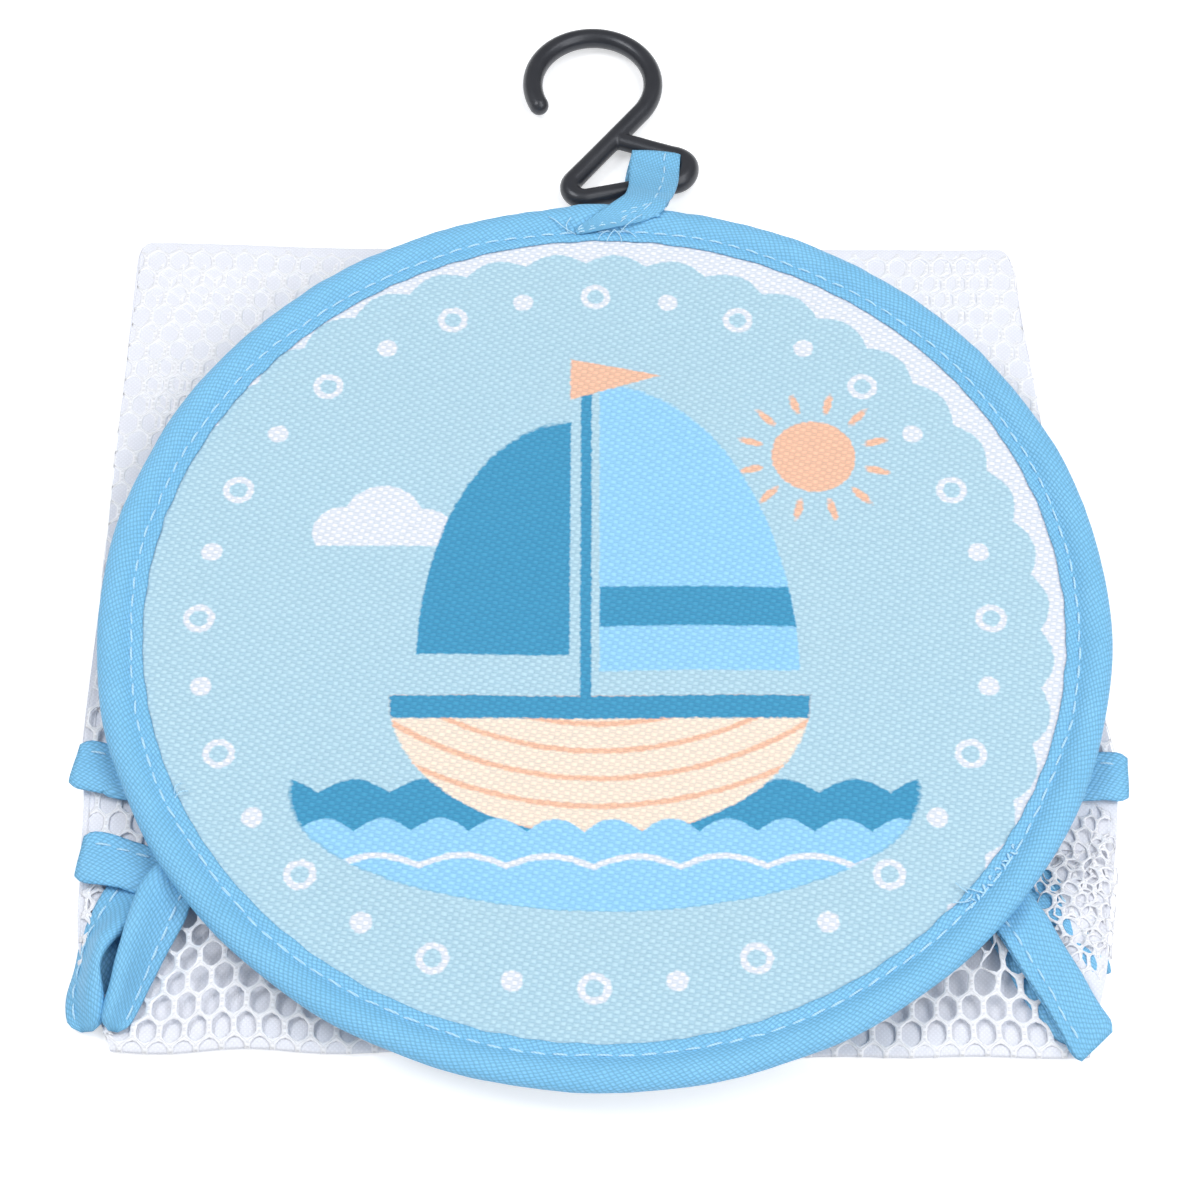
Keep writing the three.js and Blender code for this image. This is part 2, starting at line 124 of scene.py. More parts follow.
class OrganizerSizes(bpy.types.PropertyGroup):
    """Sizes of the organizer's cloth, net and thread."""

    cell_pitch: length("Cell pitch", "Distance from one net cell to the next in a row", 5.2)
    row_pitch: length("Row pitch", "Distance from one row of net cells to the next", 4.9)
    cell_side: length("Cell side", "Upright side of a net cell", 2.9)
    net_thickness: length("Net thickness", "Thickness of the net's yarn", 0.6)
    tape_width: length("Tape width", "Width of the folded binding tape", 11.2)
    tape_cloth: length("Tape cloth", "Thickness of the tape's cloth", 0.4)
    stitch_pitch: length("Stitch pitch", "Length of one stitch with its gap", 4.4)
    stitch_length: length("Stitch length", "Length of thread that shows in one stitch", 3.5)
    thread_radius: length("Thread radius", "Half the thickness of the sewing thread", 0.26)
    ribbon_width: length("Ribbon width", "Width of the hanging ribbon", 12.5)
    weave_pitch: length("Weave pitch", "Distance between the canvas's threads", 0.85)
    tape_pitch: length("Tape weave", "Distance between the tape's threads", 0.68)


class OrganizerColours(bpy.types.PropertyGroup):
    """Colours of the organizer's materials."""

    tape: colour("Tape", "Binding tape and ribbon", 127, 202, 247)
    thread: colour("Thread", "Sewing thread", 174, 224, 251)
    net: colour("Net", "Net yarn", 244, 245, 250)
    backing: colour("Backing", "Cloth of the bag's back", 229, 231, 240)
    canvas: colour("Canvas", "Ground of the canvas", 178, 210, 225)
    plastic: colour("Plastic", "Hook", 10, 11, 22)
    steel: colour("Steel", "Hoop", 178, 182, 188)
    white: colour("White", "White of the print", 228, 230, 238)
    teal: colour("Teal", "Dark blue of the print", 66, 150, 190)
    pale: colour("Pale blue", "Light blue of the print", 150, 206, 241)
    cream: colour("Cream", "Cream of the print", 246, 225, 207)
    peach: colour("Peach", "Peach of the print", 244, 190, 162)


def sizes():
    """The size settings, in millimetres."""
    group = bpy.context.scene.organizer_sizes
    return {name: getattr(group, name) / MM for name in OrganizerSizes.__annotations__}


def tint(name):
    """A colour setting with full alpha."""
    return (*getattr(bpy.context.scene.organizer_colours, name), 1.0)


# Lines, grids and meshes

def smooth_line(keys, count):
    """Line through the keys whose slope at each key is that of its two neighbours (Catmull-Rom)."""
    keys = np.asarray(keys, float)
    ends = np.vstack([2 * keys[0] - keys[1], keys, 2 * keys[-1] - keys[-2]])
    t = np.linspace(0, len(keys) - 1, count)
    i = np.minimum(t.astype(int), len(keys) - 2)
    f = (t - i)[:, None]
    a, b, c, d = ends[i], ends[i + 1], ends[i + 2], ends[i + 3]
    straight = 2 * b + (c - a) * f
    return 0.5 * (straight + (2 * a - 5 * b + 4 * c - d) * f**2 + (3 * b - a - 3 * c + d) * f**3)


def run_of(line):
    """Length of the line up to each of its points."""
    return np.r_[0, np.cumsum(np.linalg.norm(np.diff(line[:, :3], axis=0), axis=1))]


def pick(line, at):
    """The line's columns at given lengths from its start."""
    run = run_of(line)
    return np.stack([np.interp(at, run, column) for column in line.T], -1)


def evenly(line, count):
    """The same line with its points at even steps of its length."""
    return pick(line, np.linspace(0, run_of(line)[-1], count))


def unit(vectors):
    return vectors / np.maximum(np.linalg.norm(vectors, axis=-1, keepdims=True), 1e-12)


def ease(value, low, high):
    """Smooth step from 0 at low to 1 at high."""
    t = np.clip((value - low) / (high - low), 0, 1)
    return t * t * (3 - 2 * t)


def bell(value, width):
    """Bell curve: 1 at 0 and exp(-1) one width away from it."""
    return np.exp(-((value / width) ** 2))


def ripple(s, seed, waves, wavelength):
    """Smooth noise of about unit height along s: a sum of sines with seeded lengths and phases."""
    draw = np.random.default_rng(seed)
    pace = TURN / (wavelength * draw.uniform(0.6, 1.6, waves))
    phase = draw.uniform(0, TURN, waves)
    return np.sin(np.asarray(s)[..., None] * pace + phase).sum(-1) / math.sqrt(waves)


def ripple_2d(x, y, seed, waves, wavelength):
    """Smooth noise of about unit height over a plane: a sum of plane waves with seeded headings."""
    draw = np.random.default_rng(seed)
    pace = TURN / (wavelength * draw.uniform(0.6, 1.6, waves))
    heading, phase = draw.uniform(0, TURN, (2, waves))
    along = np.asarray(x)[..., None] * np.cos(heading) + np.asarray(y)[..., None] * np.sin(heading)
    return np.sin(along * pace + phase).sum(-1) / math.sqrt(waves)


def grid_faces(rows, columns, close_rows=False, close_columns=False):
    """Quads of a grid of points numbered row by row, closed round where asked."""
    i, j = np.meshgrid(
        np.arange(rows if close_rows else rows - 1),
        np.arange(columns if close_columns else columns - 1),
        indexing="ij",
    )
    i2, j2 = (i + 1) % rows, (j + 1) % columns
    corners = [i * columns + j, i2 * columns + j, i2 * columns + j2, i * columns + j2]
    return np.stack(corners, -1).reshape(-1, 4)


def layered(top, low):
    """Two layers of a sheet, each a grid of points, closed along their edges: the points, and then the faces
    of the top, of the bottom and of the edge."""
    rows, columns = top.shape[:2]
    total = rows * columns
    quads = grid_faces(rows, columns)
    i, j = np.arange(rows - 1) * columns, np.arange(columns - 1)
    ring = np.concatenate([i, total - columns + j, total - 1 - i, columns - 1 - j])
    edge = np.stack([ring, np.roll(ring, -1), np.roll(ring, -1) + total, ring + total], -1)
    points = np.concatenate([top.reshape(-1, 3), low.reshape(-1, 3)])
    return points, quads, quads[:, ::-1] + total, edge[:, ::-1]


def closed_strip(count, wide):
    """Faces of a strip of cloth: each of its rows goes over its outer side and back over its inner side, so
    many points each way. Its two ends are closed."""
    around = 2 * wide
    k = np.arange(wide - 1)
    cap = np.stack([k, k + 1, around - 2 - k, around - 1 - k], -1)
    sides = grid_faces(count, around, close_columns=True)
    return [np.vstack([sides, cap, cap[:, ::-1] + (count - 1) * around])]


def strip_uv(run, width):
    """UV map of such a strip: the length along it, and the distance across on both of its sides."""
    around = np.r_[width, width[::-1]]
    return np.stack([np.repeat(run, len(around)), np.tile(around, len(run))], -1) * UV_MM


def add_piece(name, points, faces, material, uv=None, wrap=None):
    """Object with the given points in millimetres and a list of face arrays, each of one corner count. Where
    the map's u closes round at a length wrap, the last faces carry on past it."""
    corners = np.concatenate([f.ravel() for f in faces]).astype(np.int32)
    counts = np.concatenate([np.full(len(f), f.shape[1]) for f in faces])
    mesh = bpy.data.meshes.new(name)
    mesh.vertices.add(len(points))
    mesh.loops.add(len(corners))
    mesh.polygons.add(len(counts))
    mesh.vertices.foreach_set("co", (points * MM).astype(np.float32).ravel())
    mesh.loops.foreach_set("vertex_index", corners)
    mesh.polygons.foreach_set("loop_start", np.r_[0, np.cumsum(counts)[:-1]].astype(np.int32))
    if uv is not None:
        spots = uv[corners]
        if wrap:
            faces_of = np.repeat(np.arange(len(counts)), counts)
            far = np.maximum.reduceat(spots[:, 0], np.r_[0, np.cumsum(counts)[:-1]])[faces_of]
            spots[:, 0] += np.where(far - spots[:, 0] > wrap / 2, wrap, 0)
        mesh.uv_layers.new(name="UVMap").data.foreach_set("uv", spots.astype(np.float32).ravel())
    mesh.update(calc_edges=True)
    mesh.validate()
    mesh.shade_smooth()
    mesh.materials.append(material)
    return link_object(name, mesh)


def link_object(name, data):
    """New object in the scene."""
    made = bpy.data.objects.new(name, data)
    bpy.context.scene.collection.objects.link(made)
    return made


def set_in_frame(piece, body, slot, *nodes):
    """Attaches a piece to its frame body, where it has one, and hides the frame nodes that it goes with. The
    material slot is not used. A piece that bends between two bodies has no body here."""
    if body:
        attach(piece, body)
    if nodes:
        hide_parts(*nodes)
    return piece


# Shader nodes

def put(entry, value):
    """Links a field or a socket to a node's input, or sets the input to a fixed value."""
    if isinstance(value, Field):
        value = value.socket
    if isinstance(value, bpy.types.NodeSocket):
        entry.id_data.links.new(value, entry)
    else:
        entry.default_value = value


def feed(node, **values):
    """Puts values into a node's inputs, each named with _ for a space."""
    for name, value in values.items():
        put(node.inputs[name.replace("_", " ")], value)


class Field:
    """A number that changes over a surface. Its arithmetic adds Math nodes to the tree."""

    def __init__(self, tree, socket):
        self.tree = tree
        self.socket = socket

    def math(self, operation, *others, clamp=False):
        node = self.tree.nodes.new("ShaderNodeMath")
        node.operation = operation
        node.use_clamp = clamp
        for entry, value in zip(node.inputs, (self, *others)):
            put(entry, value)
        return Field(self.tree, node.outputs[0])

    __add__ = partialmethod(math, "ADD")
    __sub__ = partialmethod(math, "SUBTRACT")
    __mul__ = partialmethod(math, "MULTIPLY")
    __truediv__ = partialmethod(math, "DIVIDE")
    __abs__ = partialmethod(math, "ABSOLUTE")
    least = partialmethod(math, "MINIMUM")
    most = partialmethod(math, "MAXIMUM")
    sine = partialmethod(math, "SINE")
    part = partialmethod(math, "FRACT")

    def __neg__(self):
        return self * -1.0

    def inside(self, edge):
        """1 inside a shape whose signed distance this is, 0 outside, with a soft edge."""
        return (self / -edge).math("ADD", 0.5, clamp=True)

    def blend(self, low, high):
        """low at 0 and high at 1; the ends may be fields or numbers."""
        node = self.tree.nodes.new("ShaderNodeMix")
        for entry, value in ((0, self), (2, low), (3, high)):
            put(node.inputs[entry], value)
        return Field(self.tree, node.outputs[0])


def mixed(tree, share, first, second, kind="MIX"):
    """Colour between two, each a socket or a fixed colour, by a share."""
    node = tree.nodes.new("ShaderNodeMix")
    node.data_type = "RGBA"
    node.blend_type = kind
    for entry, value in ((0, share), (6, first), (7, second)):
        put(node.inputs[entry], value)
    return node.outputs[2]


def split(tree, socket, scale):
    """The x and y of a vector as fields, times a scale."""
    node = tree.nodes.new("ShaderNodeSeparateXYZ")
    put(node.inputs[0], socket)
    return Field(tree, node.outputs[0]) * scale, Field(tree, node.outputs[1]) * scale


def noise(tree, socket, scale, detail=2.0):
    node = tree.nodes.new("ShaderNodeTexNoise")
    feed(node, Scale=scale, Detail=detail, Vector=socket)
    return Field(tree, node.outputs[0])


def place_of(tree, name):
    return tree.nodes.new("ShaderNodeTexCoord").outputs[name]


def weave_group():
    """Plain weave: threads run both ways, one pitch apart, and each square of the pattern shows the
    rounded back of the thread on top. Height is |sin x|^a |sin y|^b with a and b changing places from
    square to square. Shade, for colour, is painted light: lighter on the threads' raised backs and where
    the lengthwise thread is on top, darker in the gaps, and uneven with the yarn."""
    group = bpy.data.node_groups.get("Plain weave")
    if group:
        return group
    group = bpy.data.node_groups.new("Plain weave", "ShaderNodeTree")
    for name in ("Coordinates", "Pitch", "Uneven"):
        kind = "NodeSocketVector" if name == "Coordinates" else "NodeSocketFloat"
        group.interface.new_socket(name, in_out="INPUT", socket_type=kind)
    for name in ("Height", "Shade"):
        group.interface.new_socket(name, in_out="OUTPUT", socket_type="NodeSocketFloat")
    entry = group.nodes.new("NodeGroupInput")
    leave = group.nodes.new("NodeGroupOutput")
    x, y = split(group, entry.outputs["Coordinates"], 1.0)
    pitch = Field(group, entry.outputs["Pitch"])
    drift = noise(group, entry.outputs["Coordinates"], 0.5) * 0.6
    across = ((x / pitch + drift) * math.pi).sine()
    along = ((y / pitch - drift) * math.pi).sine()
    on_top = ((across * along) * 1.6).math("ADD", 0.5, clamp=True)
    wide = abs(across).math("POWER", 0.3) * abs(along).math("POWER", 0.9)
    tall = abs(across).math("POWER", 0.9) * abs(along).math("POWER", 0.3)
    height = on_top.blend(wide, tall)
    slub = noise(group, entry.outputs["Coordinates"], 1.2, 3.0) - 0.5
    # painted highlight on the threads' raised backs and where the lengthwise thread is on top, painted shade
    # in the gaps; the slub is the yarn's own unevenness
    shade = height * 0.45 + on_top * 0.55 + slub * Field(group, entry.outputs["Uneven"])
    feed(leave, Height=height, Shade=shade)
    return group


def woven(tree, coordinates, pitch, uneven):
    """The weave group's height and shade as fields, at a pitch in the coordinates' own units."""
    node = tree.nodes.new("ShaderNodeGroup")
    node.node_tree = weave_group()
    feed(node, Coordinates=coordinates, Pitch=pitch, Uneven=uneven)
    return Field(tree, node.outputs["Height"]), Field(tree, node.outputs["Shade"])


def raised(tree, height, shader, distance, strength):
    """Feeds a height into a shader's normal through a Bump node."""
    bump = tree.nodes.new("ShaderNodeBump")
    feed(bump, Distance=distance, Strength=strength, Height=height)
    feed(shader, Normal=bump.outputs[0])


def new_material(name, roughness, **values):
    material = bpy.data.materials.new(name)
    material.use_nodes = True
    shader = material.node_tree.nodes["Principled BSDF"]
    feed(shader, Roughness=roughness, **values)
    return material, material.node_tree, shader


def darker(shade, share):
    return tuple(part * share for part in shade[:3]) + (1.0,)


def lighter(shade, share):
    return tuple(part + (1 - part) * share for part in shade[:3]) + (1.0,)


def scaled(tree, socket, scale, turn=0.0, stretch=1.0):
    """A vector times a scale, turned round Z, with its x drawn out by a stretch."""
    node = tree.nodes.new("ShaderNodeMapping")
    feed(node, Scale=(scale / stretch, scale, scale), Rotation=(0, 0, turn), Vector=socket)
    return node.outputs[0]


WEAVE_TURN = math.radians(8)  # the canvas's threads run a little aslant
WEAVE_STRETCH = 1.5  # its crosswise threads lie further apart
TAPE_TURN = math.radians(24)  # the tape is cut aslant
TAPE_STRETCH = 1.65  # its lengthwise threads lie further apart


def tape_material():
    """Satin woven tape: a fine weave aslant on the tape's own UV map, with painted shade in the gaps between
    its threads and painted highlight on their backs.
    """
    material, tree, shader = new_material("woven_tape", 0.5, Sheen_Weight=0.2, Specular_IOR_Level=0.4)
    base = tint("tape")
    feed(shader, Sheen_Tint=base, Sheen_Roughness=0.4)
    uv = scaled(tree, place_of(tree, "UV"), 1 / UV_MM, TAPE_TURN, TAPE_STRETCH)
    height, shade = woven(tree, uv, sizes()["tape_pitch"], 0.5)
    cloud = noise(tree, uv, 0.09, 3.0)
    ground = mixed(tree, cloud, darker(base, 0.86), lighter(base, 0.06))
    # painted shade in the weave's gaps and painted highlight on the threads' backs, over the cloudy ground
    soft = (height * 0.85 + shade * 0.2).math("MULTIPLY", 1.0, clamp=True)
    feed(shader, Base_Color=mixed(tree, soft, darker(base, 0.6), ground), Roughness=soft * -0.2 + 0.62)
    raised(tree, height, shader, 0.0002, 0.6)
    return material


def thread_material():
    """Sewing thread: a twisted yarn, with painted highlight on its slanting ridges and painted shade in the
    grooves between them.
    """
    material, tree, shader = new_material("sewing_thread", 0.55, Sheen_Weight=0.2)
    x, y = split(tree, place_of(tree, "Object"), 1 / MM)
    twist = ((x + y) * 9.0).sine() * 0.5 + 0.5
    base = tint("thread")
    # painted highlight on the twist's ridges and painted shade in its grooves
    feed(shader, Base_Color=mixed(tree, twist, darker(base, 0.82), lighter(base, 0.15)))
    raised(tree, twist, shader, 0.0001, 0.4)
    return material


def net_material():
    """Knitted net yarn: two strands with a groove between them, and on the upright sides a chain of small
    loops. The groove and the loops' eyes are dented by the bump and darkened with painted shade. The UV map
    counts cells across and rows along, so that a point's place in its cell follows from the nearest whole
    numbers: the sloping sides are where a|x| + b|y| = c."""
    material, tree, shader = new_material("net_yarn", 0.6, Sheen_Weight=0.2)
    s = sizes()
    u, v = split(tree, place_of(tree, "UV"), 1.0)
    row = v.math("ROUND")
    shifted = u - (row * 0.5).part()
    x = abs(shifted - shifted.math("ROUND")) * s["cell_pitch"]
    y = abs(v - row) * s["row_pitch"]
    peak = s["row_pitch"] - s["cell_side"] / 2
    slope = math.hypot(s["cell_pitch"] / 2, peak - s["cell_side"] / 2)
    a, b = (peak - s["cell_side"] / 2) / slope, s["cell_pitch"] / 2 / slope
    upright = (y - 0.55 * s["cell_side"]).inside(0.4) * (x - s["cell_pitch"] / 2 + 0.3).inside(-0.2)
    eyes = ((y * (TURN / 0.98)).sine() - 0.2).math("MULTIPLY", 2.5, clamp=True) * upright
    sloping = (y - 0.5 * s["cell_side"]).inside(-0.3)
    groove = (abs(x * a + y * b - peak * b) - 0.09).inside(0.1) * sloping
    shaded_dents = eyes.most(groove * 0.8)
    fibre = noise(tree, scaled(tree, place_of(tree, "Object"), 1 / MM), 2.2, 3.0)
    base = tint("net")
    ground = mixed(tree, fibre, darker(base, 0.93), base)
    # painted shade in the groove and in the loops' eyes
    feed(shader, Base_Color=mixed(tree, shaded_dents * 0.6, ground, darker(base, 0.7)))
    raised(tree, fibre * 0.5 - shaded_dents, shader, 0.0002, 0.6)
    return material


def backing_material():
    """Plain white backing: a fine close weave, with painted shade in its gaps and painted highlight on its
    threads, and soft unevenness.
    """
    material, tree, shader = new_material("white_backing", 0.75, Sheen_Weight=0.15)
    uv = scaled(tree, place_of(tree, "UV"), 1 / UV_MM)
    height, shade = woven(tree, uv, 0.5, 0.5)
    base = tint("backing")
    # painted shade in the weave's gaps and painted highlight on the threads
    soft = shade.math("MULTIPLY", 0.9, clamp=True)
    feed(shader, Base_Color=mixed(tree, soft, darker(base, 0.88), base))
    raised(tree, height, shader, 0.0001, 0.4)
    return material


def plastic_material():
    """Moulded plastic: satin black with fine flow marks and slightly uneven gloss."""
    material, tree, shader = new_material("hook_plastic", 0.3, Coat_Weight=0.2, Coat_Roughness=0.15)
    feed(shader, Specular_Tint=(0.86, 0.91, 1, 1))
    place = place_of(tree, "Object")
    flow = noise(tree, place, 90.0, 4.0)
    grain = noise(tree, place, 2600.0, 2.0)
    base = tint("plastic")
    shade = mixed(tree, flow, darker(base, 0.85), lighter(base, 0.03))
    feed(shader, Base_Color=shade, Roughness=flow * 0.16 + 0.3)
    raised(tree, grain, shader, 0.00005, 0.25)
    return material


def steel_material():
    """Drawn spring steel: bright metal with fine lines."""
    material, tree, shader = new_material("hoop_steel", 0.3, Metallic=1.0)
    lines = noise(tree, place_of(tree, "Object"), 900.0, 3.0)
    base = tint("steel")
    feed(shader, Base_Color=mixed(tree, lines, darker(base, 0.75), base), Roughness=lines * 0.2 + 0.22)
    return material


# Print on the canvas: each shape is a signed distance in millimetres from the disc's centre

PRINT_EDGE = 0.45  # width of a shape's soft edge
EDGE_SPOT = (-4.2, -5.0)  # middle of the scalloped edge
RING_SPOT, RING_RADIUS, RING_COUNT = (-2.0, -2.0), 86.0, 16  # dots, with as many small rings between them
SUN_SPOT = (47.0, 40.0)


def from_point(x, y, cx, cy):
    return ((x - cx) * (x - cx) + (y - cy) * (y - cy)).math("SQRT")


def oval(x, y, cx, cy, rx, ry):
    """Distance to an ellipse, near enough close to its edge."""
    across = (x - cx) / rx
    along = (y - cy) / ry
    return ((across * across + along * along).math("SQRT") - 1.0) * min(rx, ry)


def ring_place(x, y, cx, cy, count, radius, shift):
    """Distance along and across from the nearest of a ring of points, by folding the angle."""
    angle = (y - cy).math("ARCTAN2", x - cx) * (count / TURN) + shift
    fold = (angle.part() - 0.5) * (TURN / count)
    reach = from_point(x, y, cx, cy)
    return reach * fold.math("COSINE") - radius, reach * fold.sine()


def print_layers(x, y):
    """The print's shapes from the ground up, each as its signed distance and its colour's name."""
    lobe = abs(((y - EDGE_SPOT[1]).math("ARCTAN2", x - EDGE_SPOT[0]) * 22.0).sine())
    yield -(from_point(x, y, *EDGE_SPOT) - (lobe * 2.6 + 98.7)), "white"
    dot = ring_place(x, y, *RING_SPOT, RING_COUNT, RING_RADIUS, 0.0)
    yield from_point(*dot, 0.0, 0.0) - 2.3, "white"
    bubble = ring_place(x, y, *RING_SPOT, RING_COUNT, RING_RADIUS, 0.5)
    yield abs(from_point(*bubble, 0.0, 0.0) - 2.7) - 0.75, "white"
    rays = ring_place(x, y, *SUN_SPOT, 12, 14.6, 0.0)
    yield oval(*rays, 0.0, 0.0, 2.6, 0.9), "peach"
    yield from_point(x, y, *SUN_SPOT) - 9.4, "peach"
    cloud = (from_point(x, y, -58.0, 20.0) - 6.5).least(from_point(x, y, -49.0, 23.0) - 9.0)
    cloud = cloud.least(from_point(x, y, -39.5, 20.0) - 6.0)
    yield cloud.most(-(y - 16.5)), "white"
    sea = oval(x, y, 0.0, -44.0, 66.0, 27.0)
    crest = abs((x * (math.pi / 15.0)).sine())
    yield sea.most(y + 44.0 - crest * 3.2), "teal"
    hull = oval(x, y, -1.0, -21.0, 45.0, 33.0).most(y + 21.0)
    yield hull, "cream"
    plank = abs(((from_point(x, y, -1.0, 40.0) * 0.155).part() - 0.5)) * 6.4 - 0.62
    yield hull.most(plank), "peach"
    yield hull.most(-(y + 26.5)), "teal"
    yield abs(x + 4.0).most(abs(y - 19.0) - 42.0) - 1.2, "teal"
    sail = oval(x, y, -1.0, -15.0, 43.0, 74.0).most(-(x + 1.0)).most(-(y + 15.0))
    yield sail, "pale"
    yield sail.most(abs(y - 1.0) - 5.0), "teal"
    yield oval(x, y, -7.5, -11.0, 33.0, 60.0).most(x + 7.5).most(-(y + 11.0)), "teal"
    yield abs(y - 61.0 - (x + 4.0) * 0.05).math("ADD", (x + 4.0) * 0.27).most(-(x + 3.0)) - 4.6, "peach"
    front = abs((x * (math.pi / 12.0) + 1.1).sine())
    yield sea.most(y + 53.0 - front * 3.0), "pale"
    foam = abs((x * (math.pi / 18.0) + 0.4).sine())
    yield sea.most(abs(y + 61.0 - foam * 2.4) - 0.7), "white"


def canvas_material(printed=True):
    """Canvas: the print's shapes dyed over a pale ground on a plain weave, or the plain back of it. Painted
    shade darkens the gaps between the threads and painted highlight lightens the threads' backs, with a soft
    cloudy unevenness over it."""
    name = "printed_canvas" if printed else "plain_canvas"
    material, tree, shader = new_material(name, 0.8, Sheen_Weight=0.15, Specular_IOR_Level=0.25)
    place = place_of(tree, "Object")
    x, y = split(tree, place, 1 / MM)
    millimetres = scaled(tree, place, 1 / MM, WEAVE_TURN, WEAVE_STRETCH)
    height, shade = woven(tree, millimetres, sizes()["weave_pitch"], 0.6)
    bleed = (noise(tree, millimetres, 1.1, 1.0) - 0.5) * 0.8
    ink = tint("canvas") if printed else lighter(tint("canvas"), 0.6)
    for distance, dye in print_layers(x, y) if printed else ():
        ink = mixed(tree, (distance + bleed).inside(PRINT_EDGE), ink, tint(dye))
    cloud = noise(tree, millimetres, 0.05, 2.0)
    # painted shade in the weave's gaps, bluer, and painted highlight on the threads' backs, warmer, then a
    # soft cloudy unevenness
    soft = shade.math("MULTIPLY", 0.9, clamp=True)
    painted_shade_and_cloud = mixed(tree, soft, (0.72, 0.79, 0.85, 1), (1.15, 1.12, 1.09, 1))
    painted_shade_and_cloud = mixed(tree, cloud * 0.25, painted_shade_and_cloud, (0.92, 0.95, 0.97, 1))
    feed(shader, Base_Color=mixed(tree, 1.0, ink, painted_shade_and_cloud, "MULTIPLY"))
    raised(tree, height, shader, 0.00028, 0.6)
    return material


MATERIALS = {}


def material_of(name):
    """A shared material, made the first time that it is asked for."""
    makers = {
        "tape": tape_material, "thread": thread_material, "net": net_material, "backing": backing_material,
        "plastic": plastic_material, "steel": steel_material, "canvas": canvas_material,
        "canvas_back": lambda: canvas_material(printed=False),
    }
    if name not in MATERIALS:
        MATERIALS[name] = makers[name]()
    return MATERIALS[name]


# Sewing

THREAD_SIDES = 6
THREAD_TURN = (np.arange(THREAD_SIDES) * TURN / THREAD_SIDES)[:, None]
THREAD_FLAT = 0.8  # a stitch's height as a share of its width
STITCH_RINGS = np.array([-0.8, -0.4, 0.0, 0.4, 0.8])  # places of a stitch's rings, from -1 to 1 along it
LOOSE_RINGS = 18  # rings along a loose end of thread


def thread_faces(count, rings):
    """Faces of a number of threads, each of so many rings with a point for each end after them: the walls as
    quads and the ends as triangles."""
    j = np.arange(THREAD_SIDES)
    j2 = (j + 1) % THREAD_SIDES
    tip = rings * THREAD_SIDES
    back = tip - THREAD_SIDES
    wall = grid_faces(rings, THREAD_SIDES, close_columns=True)[:, ::-1]
    first = np.stack([j, j2, np.full(THREAD_SIDES, tip)], -1)[:, ::-1]
    last = np.stack([j + back, j2 + back, np.full(THREAD_SIDES, tip + 1)], -1)
    starts = (np.arange(count) * (tip + 2))[:, None, None]
    return [(starts + wall).reshape(-1, 4), (starts + np.vstack([first, last])).reshape(-1, 3)]


def stitches(name, line, normals, body, pitch=None, seed=1, lift=0.1, weight=1.0):
    """A run of stitches along a line: each is a grain of thread, r(t) = r sqrt(1 - t^4) thick, whose
    middle stands on the cloth and whose ends dip into it."""
    s = sizes()
    pitch = pitch or s["stitch_pitch"]
    run = run_of(line)
    count = max(int(run[-1] / pitch), 1)
    draw = np.random.default_rng(seed)
    shown = s["stitch_length"] / s["stitch_pitch"] * pitch * draw.uniform(0.9, 1.08, count)
    centre = (np.arange(count) + 0.5) * run[-1] / count
    t = STITCH_RINGS
    reach = np.r_[-1, t, 1]
    at = np.clip(centre[:, None] + reach * shown[:, None] / 2, 0, run[-1]).ravel()
    here = pick(line, at).reshape(count, len(reach), 3)
    over = unit(pick(np.hstack([line, normals]), at)[:, 3:]).reshape(here.shape)
    side = unit(np.cross(over, unit(np.gradient(here, axis=1))))
    sway = draw.normal(0, 0.07, (count, 1, 1)) + draw.normal(0, 0.1, (count, 1, 1)) * reach[:, None]
    stand = lift + s["thread_radius"] * (0.55 - 1.1 * reach**2)
    here = here + side * sway + over * stand[:, None]
    thick = weight * s["thread_radius"] * np.sqrt(1 - t**4) * draw.uniform(0.9, 1.15, count)[:, None]
    spread = np.sin(THREAD_TURN) * over[:, 1:-1, None] * THREAD_FLAT
    spread = np.cos(THREAD_TURN) * side[:, 1:-1, None] + spread
    rings = here[:, 1:-1, None] + spread * thick[:, :, None, None]
    points = np.concatenate([rings.reshape(count, -1, 3), here[:, [0, -1]]], 1).reshape(-1, 3)
    piece = add_piece(name, points, thread_faces(count, len(t)), material_of("thread"))
    return set_in_frame(piece, body, "tape")


def loose_threads(name, ends, body, radius=0.17):
    """Cut thread ends: thin round tubes along smooth lines through their keys, all in one mesh."""
    points = []
    for keys in ends:
        line = evenly(smooth_line(keys, 60), LOOSE_RINGS)
        ahead = unit(np.gradient(line, axis=0))
        side = unit(np.cross(ahead, UP + 0.01))
        over = np.cross(side, ahead)
        spread = np.cos(THREAD_TURN) * side[:, None] + np.sin(THREAD_TURN) * over[:, None]
        points += [(line[:, None] + radius * spread).reshape(-1, 3), line[[0, -1]]]
    faces = thread_faces(len(ends), LOOSE_RINGS)
    return set_in_frame(add_piece(name, np.vstack(points), faces, material_of("thread")), body, "tape")


# Tape and ribbon

def sheet_along(name, line, across, over, section, inner, skew=0.0):
    """A folded strip of tape: its outer line and its inner line, each a row of (across, over) offsets for
    every point of a path, carried along that path, with the two edges and both ends closed. Skew carries
    points on along the path by their distance across it, so that an end is cut aslant. The UV map's width
    is that of the middle row."""
    ahead = unit(np.gradient(line, axis=0))
    skew = np.broadcast_to(skew, len(line))[:, None, None]

    def carried(offsets):
        spot = line[:, None] + offsets[..., :1] * across[:, None] + offsets[..., 1:] * over[:, None]
        return spot + skew * offsets[..., :1] * ahead[:, None]

    count, wide = section.shape[:2]
    points = np.concatenate([carried(section), carried(inner)[:, ::-1]], 1).reshape(-1, 3)
    uv = strip_uv(run_of(line), run_of(section[count // 2]))
    return add_piece(name, points, closed_strip(count, wide), material_of("tape"), uv)


